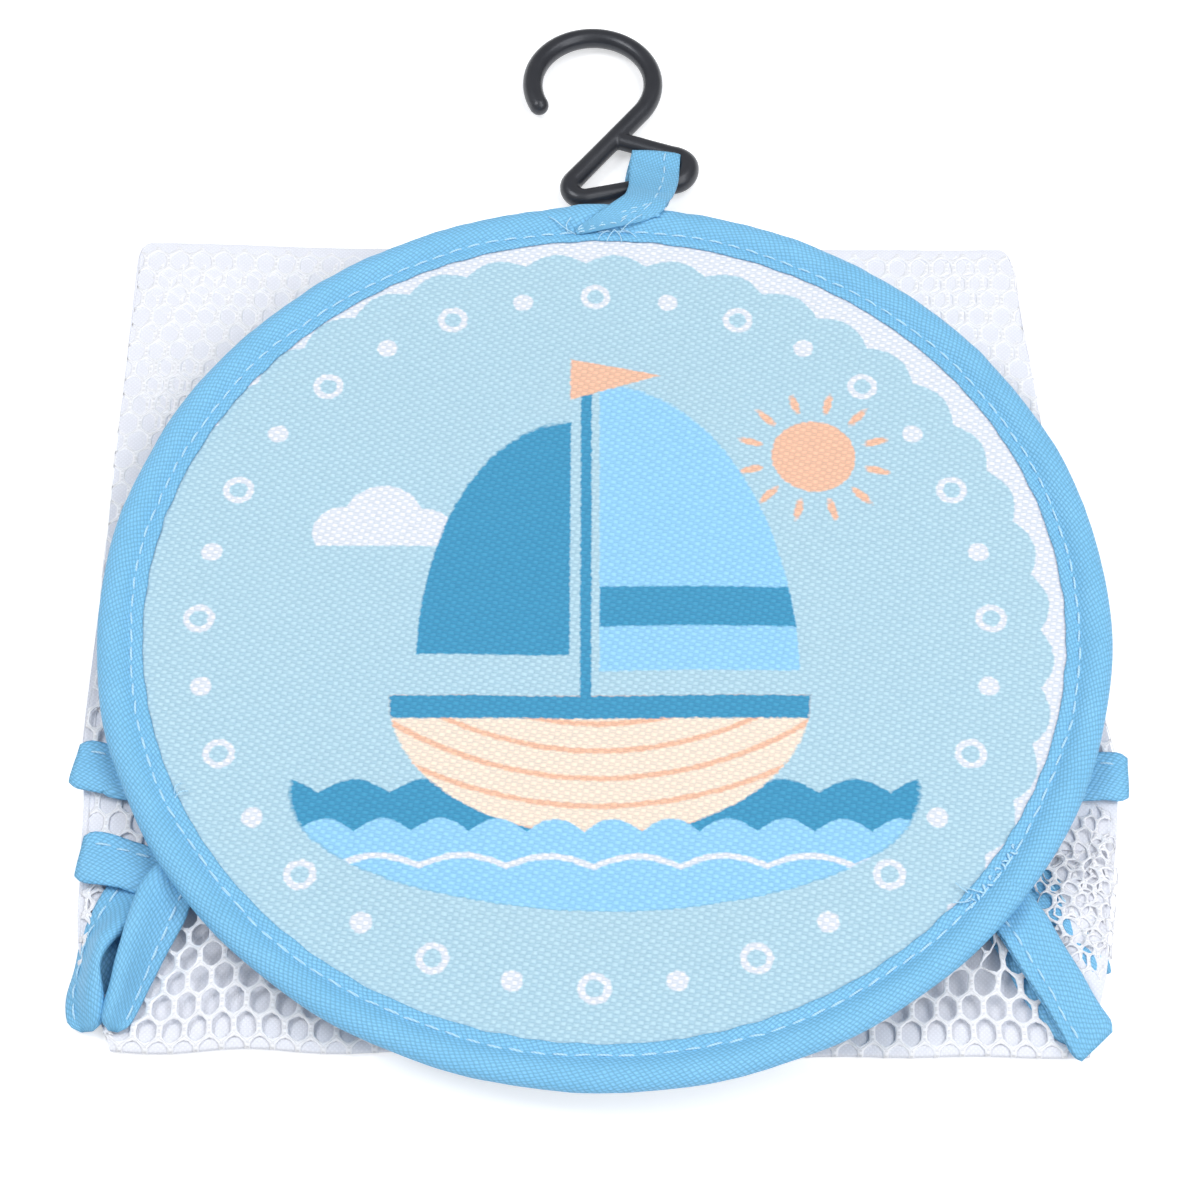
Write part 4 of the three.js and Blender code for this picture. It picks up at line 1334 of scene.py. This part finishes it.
def rim_shape(theta):
    """Rim binding round the disc: a tube over the hoop and a flap on the canvas, pinched along the seam.
    Returns the outer line of the folded tape at each angle as (radius, height), from the front flap's
    edge round the tube to the back flap's edge."""
    front = smooth_line(RIM_KEYS, 22)
    both = np.vstack([front, (front * [1, -1])[-2::-1]])
    r = np.repeat(both[None, :, 0], len(theta), 0)
    z = np.repeat(both[None, :, 1], len(theta), 0)
    arc = theta * DISC_RADIUS
    near_seam = bell(r - RIM_SEAM, 1.3)
    stitch = np.cos(arc / sizes()["stitch_pitch"] * RIM_SEAM / DISC_RADIUS * TURN)[:, None]
    flap = ease(r, 103.5, 100.5)
    tube = ease(r, 103, 106)
    upper = np.sign(z) * np.minimum(np.abs(z), 1)
    pucker = 0.07 * stitch * near_seam + 0.07 * flap * ripple(arc, 3, 6, 7)[:, None]
    slant = 0.06 * ripple(arc[:, None] + 1.6 * r, 6, 5, 6)
    pucker = pucker + tube * (0.1 * ripple(arc, 4, 6, 11)[:, None] + slant)
    z = z + upper * pucker
    bump = bell((theta - LOOP_ANGLE) * DISC_RADIUS, 7.5)[:, None]
    r = r + tube * (0.8 * bump + 0.14 * ripple(arc, 8, 4, 30)[:, None])
    r = r + 0.12 * flap * ripple(arc, 11, 5, 12)[:, None]
    z = z + upper * tube * 0.35 * bump
    return np.stack([r, z], -1)


def ring_line(radius, arc, z):
    """Points round the disc's axis at given radii and angles, all at one height."""
    return np.stack([radius * np.cos(arc), radius * np.sin(arc), np.full(len(arc), z)], -1)


class ORGANIZER_OT_rim(bpy.types.Operator):
    """Bind the disc's edge: tape folded round the hoop, with its seam and the sewn-over join."""

    bl_idname = "organizer.rim"
    bl_label = "Rim binding"

    def execute(self, context):
        theta = np.linspace(0, TURN, RIM_ROWS, endpoint=False) + RIM_JOIN
        outer = rim_shape(theta)
        section = np.concatenate([outer, inside_of(outer, -sizes()["tape_cloth"])[:, ::-1]], 1)
        heading = np.stack([np.cos(theta), np.sin(theta)], -1)
        points = np.concatenate([section[..., :1] * heading[:, None], section[..., 1:] + DISC_Z], -1)
        faces = [grid_faces(*section.shape[:2], True, True)]
        width = run_of(outer[0])
        uv = strip_uv((theta - RIM_JOIN) * DISC_RADIUS, width)
        piece = add_piece("rim_binding_tape", points.reshape(-1, 3), faces, material_of("tape"), uv,
                          TURN * DISC_RADIUS * UV_MM)
        set_in_frame(piece, "disc", "tape", "rim_binding")
        arc = np.linspace(0, TURN, 900)
        for side, name, seed in ((1, "rim_stitches_front", 21), (-1, "rim_stitches_back", 22)):
            radius = RIM_SEAM + 0.22 * ripple(arc * 105, seed, 5, 45)
            line = ring_line(radius, arc, DISC_Z + side * 0.74)
            stitches(name, line, np.tile(UP * side, (len(arc), 1)), "disc", seed=seed)
        self.sew_join()
        return {"FINISHED"}

    def sew_join(self):
        """Where the tape's ends meet the seam is sewn over twice, with a tuft of cut thread."""
        arc = np.radians(np.linspace(-43.5, -33.5, 240))
        radius = RIM_SEAM - 0.3 + 0.8 * np.sin(np.linspace(0, 16 * math.pi, 240))
        line = ring_line(radius, arc, DISC_Z + 1.0)
        stitches("rim_join_stitches", line, np.tile(UP, (len(arc), 1)), "disc", pitch=2.2, seed=31)
        top = DISC_Z + 1.35

        def end(angle, radius, turn, long, height=0.5):
            spot = heading_step((0, 0), angle, radius)
            bow = heading_step(heading_step(spot, turn, long * 0.5), turn + 90, 0.12 * long)
            return [(*spot, top - 0.5), (*bow, top + height), (*heading_step(spot, turn, long), top)]

        loose_threads("rim_thread_ends", [
            end(-42.5, 102.0, 190, 4.0), end(-41.8, 101.2, 230, 2.6), end(-41.0, 102.4, 165, 3.2, 0.8),
            end(-42.0, 100.6, 140, 3.4), end(-153, 101.0, 30, 3.4), end(-153.6, 100.5, 60, 2.6, 0.8),
        ], "disc")


class ORGANIZER_OT_hoop(bpy.types.Operator):
    """Give the hoop's wire and sleeve their drawn steel."""

    bl_idname = "organizer.hoop"
    bl_label = "Hoop"

    def execute(self, context):
        for node in ("hoop_wire", "hoop_sleeve"):
            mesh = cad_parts[node].data
            mesh.materials.clear()
            mesh.materials.append(material_of("steel"))
        return {"FINISHED"}


def heading_step(point, degrees, distance):
    angle = math.radians(degrees)
    return np.array(point) + distance * np.array([math.cos(angle), math.sin(angle)])


def arc_points(centre, radius, start, end, count):
    angle = np.radians(np.linspace(start, end, count))
    return np.array(centre) + radius * np.stack([np.cos(angle), np.sin(angle)], -1)


BAR_SPOT = (11.3, 123.75)
BAR_Z = middle_of("hook")[2]

# The hook's rod, laid flat: headings in degrees, lengths from one bend to the next and radii of the bends
BAR_HEADING, SHANK_HEADING, UPPER_HEADING, TIP_ANGLE = 13, 232, 161, 207
BAR_BEFORE, BAR_LENGTH, SHANK_LENGTH, UPPER_LENGTH = 15.7, 21.5, 26.8, 15.6
CROWN_RADIUS, BEND_RADIUS, EYE_RADIUS = 14.9, 3.4, 4.3
ROD_RADIUS, ROD_SIDES, DOME_RINGS = 2.4, 20, 6
ROD_ROWS, BAR_ROWS = 260, 50


def hook_lines():
    """Centre lines of the hook's bent rod and of its upper bar, flat, from the tip to the eye's end."""
    bar_start = heading_step(BAR_SPOT, BAR_HEADING, -BAR_BEFORE)
    bend = heading_step(bar_start, BAR_HEADING + 90, BEND_RADIUS)
    shank_end = heading_step(bend, SHANK_HEADING - 90, BEND_RADIUS)
    shank_start = heading_step(shank_end, SHANK_HEADING, -SHANK_LENGTH)
    crown = heading_step(shank_start, SHANK_HEADING - 90, CROWN_RADIUS)
    bar_end = heading_step(bar_start, BAR_HEADING, BAR_LENGTH)
    turn = heading_step(bar_end, BAR_HEADING + 90, EYE_RADIUS)
    upper = heading_step(turn, UPPER_HEADING - 90, EYE_RADIUS)
    rod = np.vstack([
        arc_points(crown, CROWN_RADIUS, TIP_ANGLE, SHANK_HEADING - 270, 90),
        arc_points(bend, BEND_RADIUS, SHANK_HEADING - 90, BAR_HEADING + 270, 30),
        arc_points(turn, EYE_RADIUS, BAR_HEADING - 90, UPPER_HEADING - 90, 30),
    ])
    return rod, np.stack([upper, heading_step(upper, UPPER_HEADING, UPPER_LENGTH)])


class ORGANIZER_OT_hook(bpy.types.Operator):
    """Mould the hook: round rods along its centre lines, fused and smoothed where they meet."""

    bl_idname = "organizer.hook"
    bl_label = "Hook"

    def rod(self, line, radii, flat):
        """Round-ended tube: rings square to a flat line, closed by domes of shrinking rings."""
        dome = np.linspace(math.pi / 2, 0.15, DOME_RINGS)
        ahead = unit(np.gradient(line, axis=0))
        first = line[:1] - ahead[:1] * (np.sin(dome)[:, None] * radii[0])
        last = line[-1:] + ahead[-1:] * (np.sin(dome[::-1])[:, None] * radii[-1])
        radii = np.r_[np.cos(dome) * radii[0] + 0.02, radii, np.cos(dome[::-1]) * radii[-1] + 0.02]
        line = np.vstack([first, line, last])
        ahead = np.pad(ahead, ((DOME_RINGS, DOME_RINGS), (0, 0)), mode="edge")
        side = np.stack([-ahead[:, 1], ahead[:, 0]], -1)
        turn = np.arange(ROD_SIDES) * TURN / ROD_SIDES
        flat_part = line[:, None] + side[:, None] * (np.cos(turn)[:, None] * radii[:, None, None])
        z = BAR_Z + np.sin(turn) * radii[:, None] * flat
        points = np.concatenate([flat_part, z[..., None]], -1).reshape(-1, 3)
        caps = np.vstack([np.arange(ROD_SIDES)[::-1], np.arange(ROD_SIDES) + len(points) - ROD_SIDES])
        return points, grid_faces(len(line), ROD_SIDES, close_columns=True), caps

    def execute(self, context):
        rod, bar = hook_lines()
        share = np.linspace(0, 1, ROD_ROWS)
        radii = ROD_RADIUS + 0.16 * bell(share - 0.12, 0.09) + 0.12 * bell(share - 0.71, 0.05)
        radii = radii + 0.5 * ease(share, 0.86, 0.94) - 0.55 * ease(share, 0.965, 1.0)
        first = self.rod(evenly(rod, ROD_ROWS), radii, 1.0)
        second = self.rod(evenly(bar, BAR_ROWS), np.linspace(2.3, 2.2, BAR_ROWS), 0.96)
        points = np.vstack([first[0], second[0]])
        quads, caps = [np.vstack([a, b + len(first[0])]) for a, b in zip(first[1:], second[1:])]
        piece = add_piece("hook_moulding", points, [quads, caps], material_of("plastic"))
        fuse = piece.modifiers.new("fuse", "REMESH")
        fuse.mode = "VOXEL"
        fuse.voxel_size = 0.32 * MM
        fuse.use_smooth_shade = True
        soften = piece.modifiers.new("soften", "SMOOTH")
        soften.factor = 0.5
        soften.iterations = 8
        evaluated = piece.evaluated_get(context.evaluated_depsgraph_get())
        moulded = bpy.data.meshes.new_from_object(evaluated)
        piece.modifiers.clear()
        piece.data = moulded
        moulded.shade_smooth()
        set_in_frame(piece, "hook", "hook_plastic", "hook")
        return {"FINISHED"}


# The ribbon's two edges as (x, y, z), from its tail on the rim up the front, round the bar and back

RIBBON_X = 10.7
RIBBON_LEFT = [
    (-6.4, 102.9, 14.45), (-1.6, 106.4, 15.75), (2.5, 110.2, 15.35), (4.9, 113.3, 13.7), (5.8, 118.0, 10.7),
    (6.1, 122.9, 8.1), (6.3, 128.0, 6.7), (6.8, 132.6, 5.9), (6.9, 133.4, 5.2), (6.5, 132.2, 4.4),
    (5.3, 128.0, 2.2), (5.0, 123.4, 0.8), (5.2, 118.0, 2.6), (5.0, 114.6, 7.4), (4.4, 112.0, 11.8),
    (3.6, 110.2, 13.6), (2.4, 108.0, 14.6),
]
RIBBON_RIGHT = [
    (-5.4, 101.6, 13.9), (8.2, 104.1, 15.3), (13.3, 106.5, 15.75), (15.1, 110.4, 15.0), (16.8, 115.3, 12.2),
    (17.9, 121.4, 8.9), (18.3, 127.0, 6.8), (18.6, 131.3, 5.9), (18.7, 132.2, 5.2), (18.4, 131.0, 4.4),
    (17.8, 129.0, 2.4), (17.0, 125.9, 0.8), (15.4, 119.5, 2.2), (14.0, 115.0, 7.4), (13.4, 112.0, 11.8),
    (13.0, 110.2, 13.6), (12.4, 108.0, 14.6),
]
RIBBON_ROWS, RIBBON_COLUMNS, RIBBON_SEAM = 230, 17, 11  # points along and across it, and its seam's column
RIBBON_HALF = 0.32  # half its thickness
BAR_BEND, RIM_BEND = (121.5, 127.0), (109.3, 113.5)  # where it bends round the bar and off the rim, as y

# The ribbon's tail on the rim as (x, y, z, lean), and its loose thread ends as (x, y, height off the tail)
RIM_TOP = DISC_Z + RIM_HALF
TAIL_KEYS = [
    (12.6, 107.9, RIM_TOP + 0.2, 10), (9.0, 107.0, RIM_TOP + 0.45, 4), (4.0, 105.4, RIM_TOP + 0.25, -2),
    (-2.0, 103.6, RIM_TOP - 0.35, -8), (-6.6, 102.3, RIM_TOP - 0.95, -12),
]
TAIL_WIDTH, TAIL_ROWS = 5.0, 60
TAIL_ENDS = [
    [(-6.5, 101.7, -2.4), (-9.0, 102.6, -1.2), (-11.4, 104.4, -0.4), (-13.0, 105.6, -0.6)],
    [(-8.4, 101.8, -2.3), (-8.8, 103.4, -0.9), (-7.8, 105.2, -0.3)],
    [(3.4, 101.6, -2.2), (5.4, 103.0, -0.3), (7.4, 104.4, 0.4), (9.0, 105.6, 0.3)],
    [(2.5, 102.6, -1.6), (1.4, 101.2, -1.9), (0.6, 99.6, -2.4)],
    [(2.5, 102.6, -1.6), (3.8, 101.0, -1.8), (4.2, 99.4, -2.4)],
    [(1.0, 102.4, -1.7), (-0.6, 101.4, -1.8), (-1.4, 100.2, -2.3)],
    [(4.0, 102.8, -1.6), (6.2, 101.9, -1.8), (7.8, 100.6, -2.3)],
]


class ORGANIZER_OT_hanging_loop(bpy.types.Operator):
    """Fold the ribbon round the hook's bar and sew its tail aslant on the rim."""

    bl_idname = "organizer.hanging_loop"
    bl_label = "Hanging loop"

    def execute(self, context):
        left, right = smooth_line(RIBBON_LEFT, 1200), smooth_line(RIBBON_RIGHT, 1200)
        both = evenly(np.hstack([(left + right) / 2, left, right]), RIBBON_ROWS)
        middle, left, right = both[:, :3], both[:, 3:6], both[:, 6:]
        bight = np.flatnonzero(middle[:, 1] > BAR_SPOT[1] - 4.5)
        first, last = bight[0], bight[-1]
        self.band("loop_bight", left, right, slice(first, last + 1), ("loop", "hook"), BAR_BEND)
        self.band("loop_front_leg", left, right, slice(0, first + 1), ("disc", "loop"), RIM_BEND)
        self.band("loop_back_leg", left, right, slice(last, len(both)), ("disc", "loop"), RIM_BEND)
        self.sew_tail()
        return {"FINISHED"}

    def band(self, name, left, right, stretch, bodies, bend):
        """A stretch of ribbon: straight lines across from one edge to the other, bowed a little, with a
        thick, closed edge. The back leg has no seam to show."""
        share = np.linspace(0, 1, RIBBON_COLUMNS)
        middle = (left + right) / 2
        run = run_of(middle)
        out = unit(np.cross(right - left, np.gradient(middle, axis=0)))
        flat = left[:, None] + (right - left)[:, None] * share[:, None]
        bow = 0.22 * np.sin(share * math.pi) + 0.1 * ripple(run[:, None] + 5 * share, 41, 4, 9)
        front, back = [flat + out[:, None] * (bow + side * RIBBON_HALF)[..., None] for side in (1, -1)]
        points = np.concatenate([front, back[:, ::-1]], 1)[stretch]
        width = sizes()["ribbon_width"]
        faces = closed_strip(len(points), RIBBON_COLUMNS)
        uv = strip_uv(run[stretch], share * width)
        piece = add_piece(name, points.reshape(-1, 3), faces, material_of("tape"), uv)
        set_in_frame(piece, None, "tape", "hanging_loop")
        start, end = [(RIBBON_X * MM, y * MM, BAR_Z * MM) for y in bend]
        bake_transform(piece)
        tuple(start)
        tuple(end)
        if name == "loop_back_leg":
            return
        seam = (flat[:, RIBBON_SEAM] + out * (RIBBON_HALF + 0.24))[stretch]
        shown = (seam[:, 2] > 5.5) & (seam[:, 1] > 106.5)
        normals = out[stretch][shown]
        sewn = stitches(name + "_stitches", seam[shown], normals, None, seed=43, lift=0.04, weight=0.75)
        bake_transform(sewn)
        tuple(start)
        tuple(end)

    def sew_tail(self):
        """The ribbon's end: turned aslant on the rim's front and held by crossing rows of stitches."""
        path = evenly(smooth_line(TAIL_KEYS, 300), TAIL_ROWS)
        line, lean = path[:, :3], path[:, 3]
        across, over = frames(line, lean)
        taper = np.linspace(1.0, 0.35, TAIL_ROWS)[:, None]
        flatter = np.linspace(0.7, 0.3, TAIL_ROWS)[:, None]
        grown = np.stack([taper, flatter], -1)
        section = tape_section(TAIL_WIDTH, 0.8)
        inner = inside_of(section, 0.28)
        piece = sheet_along("loop_tail_ribbon", line, -across, over, section * grown, inner * grown)
        set_in_frame(piece, "disc", "tape", "loop_tail")
        run = run_of(line)
        width, long = sizes()["ribbon_width"], run[-1]
        draw = np.random.default_rng(51)
        for row, (offset, swing, seed) in enumerate(((1.4, 0.15, 52), (-0.2, 0.5, 53), (-1.5, 0.3, 54))):
            swings = np.sin(run / (2.6 + 0.5 * row) * TURN / 2 + draw.uniform(0, TURN))
            weave = (offset + swing * swings) * taper[:, 0]
            sewn = line - across * weave[:, None] + over * 0.62 * flatter / 0.7
            start = 4 + 9 * row
            stitches(f"loop_tail_stitches_{row}", sewn[start:], over[start:], "disc", pitch=2.4, seed=seed,
                     weight=0.75)
        ends = [[(x, y, RIM_TOP + 1.0 + z) for x, y, z in keys] for keys in TAIL_ENDS]
        loose_threads("loop_thread_ends", ends, "disc", 0.13)


class ORGANIZER_OT_pockets(bpy.types.Operator):
    """Hang the two pockets: net from the top fold down and the straight tape on its free edge."""

    bl_idname = "organizer.pockets"
    bl_label = "Pockets"

    def execute(self, context):
        strip_piece("pocket_net_upper", "pouch", ((232, 138), "laid", ["pocket_net_lower"]),
                    outline=(PACK_LEFT, PACK_RIGHT))
        bound_tape("pocket_tape_upper", 1, "pouch", "pocket_binding_upper", 101)

        def hung(u, v):
            return (v > -52.5) | ((u > 86 + 0.3 * np.maximum(-60 - v, 0)) & (v > -104))

        def surface(u, v):
            drift_x, drift_y = wander(u, v, 12)
            gather, dx, dy, waves = crumpled(u, v, 80, -42, (0.36, 0.4), 15)
            lift = gather * ease(v, -37, -46)
            dz = lift * (1.8 + waves - 0.02 * np.maximum(-52 - v, 0))
            hold = 0.4 * ease(v, -45, -52) * ease(u, -90, -104)
            z = packed(5.7, u, v) + 0.12 * uneven(u, v) + (dz + hold)
            return drawn_in(np.stack([u + drift_x + dx, v + drift_y + dy, z], -1))

        left, right = side_line(*POCKET_LEFT), side_line(*POCKET_RIGHT)
        cells = net_cells(-106, 102.5, left, right, hung, (1.3, 2.1))
        laid_net("pocket_net_lower", cells, surface, "pouch", ((216, 156), "laid", ["upper_lip_net"]))
        bound_tape("pocket_tape_lower", 1, "pouch", "pocket_binding_lower", 111)
        return {"FINISHED"}


class ORGANIZER_OT_mouth(bpy.types.Operator):
    """Make the pouch's mouth: the front net below it, the net above it and the tape on both lips."""

    bl_idname = "organizer.mouth"
    bl_label = "Mouth"

    def execute(self, context):
        soft, run, _ = strip_path()

        def under_lip(u, v):
            y = np.interp(v, run, soft[:, 0])
            return (over_arch(u, y, *LOWER_LIP) < 1) & ((past_lip(u, y) > -1.5) | (y > -60))

        strip_piece("front_net", "pouch", ((205, 64), "draped", ["lower_bag_back"]), under_lip)
        bound_tape("lower_lip_tape", -1, "pouch", "lower_lip_binding", 121, puff=1.7,
                   cut=-0.25, rounded=3.0)

        def above_lip(u, v):
            foot = (v > -89) | (u > 84 + 0.3 * np.maximum(-80 - v, 0))
            return (over_arch(u, v, *UPPER_LIP) > 1) & foot

        def surface(u, v):
            drift_x, drift_y = wander(u, v, 31, 0.8)
            gather, dx, dy, waves = crumpled(u, v, 78, -40, (0.38, 0.38), 33)
            z = packed(3.6, u, np.maximum(v, -97)) + gather * (1.75 + waves)
            return drawn_in(np.stack([u + dx + drift_x, v + dy + drift_y, z], -1))

        left, right = side_line(*LIP_LEFT), side_line(*LIP_RIGHT)
        cells = net_cells(-112.0, 102.5, left, right, above_lip, (2.9, 3.6))
        laid_net("upper_lip_net", cells, surface, "pouch", ((220, 197), "laid", ["back_net"]))
        bound_tape("upper_lip_tape", 1, "pouch", "upper_lip_binding", 131, puff=1.6,
                   rounded=3.5)
        bound_tape("mouth_corner_tape", 1, "pouch", "upper_lip_binding", 151, puff=0.9,
                   sewn=False)
        return {"FINISHED"}


# Line of the white cloth as (y, z): from behind the foot up the back, over the top and down under the pockets
CLOTH_KEYS = [
    (-93.2, 0.76), (-95.4, 0.8), (-96.3, 1.2), (-96.2, 1.9), (-94.8, 2.3), (-92.0, 2.1), (0.0, 2.1),
    (97.0, 2.1), (102.6, 2.3), (105.2, 3.0), (105.6, 3.7), (104.6, 4.6), (100.0, 5.2), (60.0, 5.2),
    (-30.0, 5.2), (-54.0, 5.0),
]
# A side seam's turn from the back to the front, as (distance from the pack's side, z)
SIDE_TURN = [(-4.5, 3.55), (-1.2, 3.5), (0.0, 2.85), (-1.2, 2.2), (-4.5, 2.1)]


class ORGANIZER_OT_bag(bpy.types.Operator):
    """Make the bag's back, its top fold, its side seams and the seam that carries the disc."""

    bl_idname = "organizer.bag"
    bl_label = "Bag"

    def execute(self, context):
        line, run = softened(CLOTH_KEYS)
        turn = run[np.argmax(line[:, 0])]

        def surface(u, v):
            y, z = [np.interp(v, run, column) for column in line.T]
            z = packed(z, u, y) + 0.12 * uneven(u, y) + 0.1 * ripple_2d(u, y, 61, 6, 26)
            behind = ease(u, 88, 97) * ease(y, -42, -50) * ease(y, -92, -84)
            beside = ease(u, 88, 97) * ease(y, -36, -44) * ease(y, -56, -49)
            z = z + np.where(v < turn, 2.3 * behind, 0.8 * beside)
            return np.stack([u, y + top_shift(u, y) + foot_shift(u, y), z], -1)

        left, right = along_line(CLOTH_LEFT, line, run), along_line(CLOTH_RIGHT, line, run)
        lengths = [np.linspace(0, run[-1], 100), np.linspace(0, 8, 24), turn + np.linspace(-4, 4, 34)]
        plain_sheet("back_cloth", surface, left, right, np.unique(np.concatenate(lengths)), 0.4, "pouch",
                    "back_net", ((216, 362), "laid", ["lower_bag_front"]))
        strip_piece("top_fold", "pouch", ((206, 15), "folded", ["back_net"]), outline=(PACK_LEFT, PACK_RIGHT))
        self.side_seam("side_seam_left", BACK_LEFT, -1)
        self.side_seam("side_seam_right", BACK_RIGHT, 1)
        seam = bound_tape("disc_seam_tape", -1, None, "disc_seam", 141, sewn=False)
        start, end = [(0, SEAM_Y * MM, (SEAM_Z + half) * MM) for half in (-0.4, 0.4)]
        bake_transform(seam)
        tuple(start)
        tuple(end)
        return {"FINISHED"}

    def side_seam(self, name, outline, sign):
        """The bag's sewn side: a narrow strip of net turned round from the back to the front."""
        side = side_line(*outline)
        turn = smooth_line(SIDE_TURN, 60)
        run = run_of(turn)

        def surface(u, v):
            out, z = [np.interp(v, run, column) for column in turn.T]
            x = side(u) + sign * out + sign * 0.5
            return np.stack([x, u, packed(z, x, u)], -1)

        cells = net_cells(0, run[-1], side_line((0, -94)), side_line((0, 99)))
        laid_net(name, cells, surface, "pouch", ((193, max(run[-1], 10.5)), "folded", ["back_net"]))


class ORGANIZER_OT_lower_bag(bpy.types.Operator):
    """Fold the bag's lower half up behind the rest and join it to the pouch at the bottom fold."""

    bl_idname = "organizer.lower_bag"
    bl_label = "Lower bag"

    def execute(self, context):
        for name in ("lower_bag_front", "lower_bag_back"):
            strip_piece(name, "lower_bag", ((212, 190), "laid", ["lower_bag_hem"]))
        strip_piece("lower_bag_hem", "lower_bag", ((205, 10.5), "folded", ["lower_bag_back"]))
        fold = strip_piece("bottom_fold", None, ((200, 10.0), "folded", ["lower_bag_back"]))
        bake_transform(fold)
        return {"FINISHED"}


class ORGANIZER_PT_panel(bpy.types.Panel):
    """Lists the organizer's pieces and settings in the 3D view's sidebar."""

    bl_idname = "ORGANIZER_PT_panel"
    bl_label = "Bath toy organizer"
    bl_space_type = "VIEW_3D"
    bl_region_type = "UI"
    bl_category = "Organizer"

    def draw(self, context):
        for operator in OPERATORS:
            self.layout.operator(operator.bl_idname)
        for group in (context.scene.organizer_sizes, context.scene.organizer_colours):
            for name in group.__annotations__:
                self.layout.prop(group, name)


OPERATORS = (
    ORGANIZER_OT_stage, ORGANIZER_OT_canvas_face, ORGANIZER_OT_rim, ORGANIZER_OT_hoop,
    ORGANIZER_OT_hanging_loop, ORGANIZER_OT_hook, ORGANIZER_OT_bag, ORGANIZER_OT_pockets,
    ORGANIZER_OT_mouth, ORGANIZER_OT_lower_bag,
)
CLASSES = (OrganizerSizes, OrganizerColours, *OPERATORS, ORGANIZER_PT_panel)


def register():
    for cls in CLASSES:
        bpy.utils.register_class(cls)
    bpy.types.Scene.organizer_sizes = bpy.props.PointerProperty(type=OrganizerSizes)
    bpy.types.Scene.organizer_colours = bpy.props.PointerProperty(type=OrganizerColours)


def unregister():
    del bpy.types.Scene.organizer_colours
    del bpy.types.Scene.organizer_sizes
    for cls in reversed(CLASSES):
        bpy.utils.unregister_class(cls)


def main():
    register()
    bpy.ops.organizer.stage()
    bpy.ops.organizer.canvas_face()
    bpy.ops.organizer.rim()
    bpy.ops.organizer.hoop()
    bpy.ops.organizer.hanging_loop()
    bpy.ops.organizer.hook()
    bpy.ops.organizer.bag()
    bpy.ops.organizer.pockets()
    bpy.ops.organizer.mouth()
    bpy.ops.organizer.lower_bag()
    boxes = {"cad": CAD_BOX, "visual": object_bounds()}
    {name: [list(corner) for corner in box] for name, box in boxes.items()}


if __name__ == "__main__":
    main()
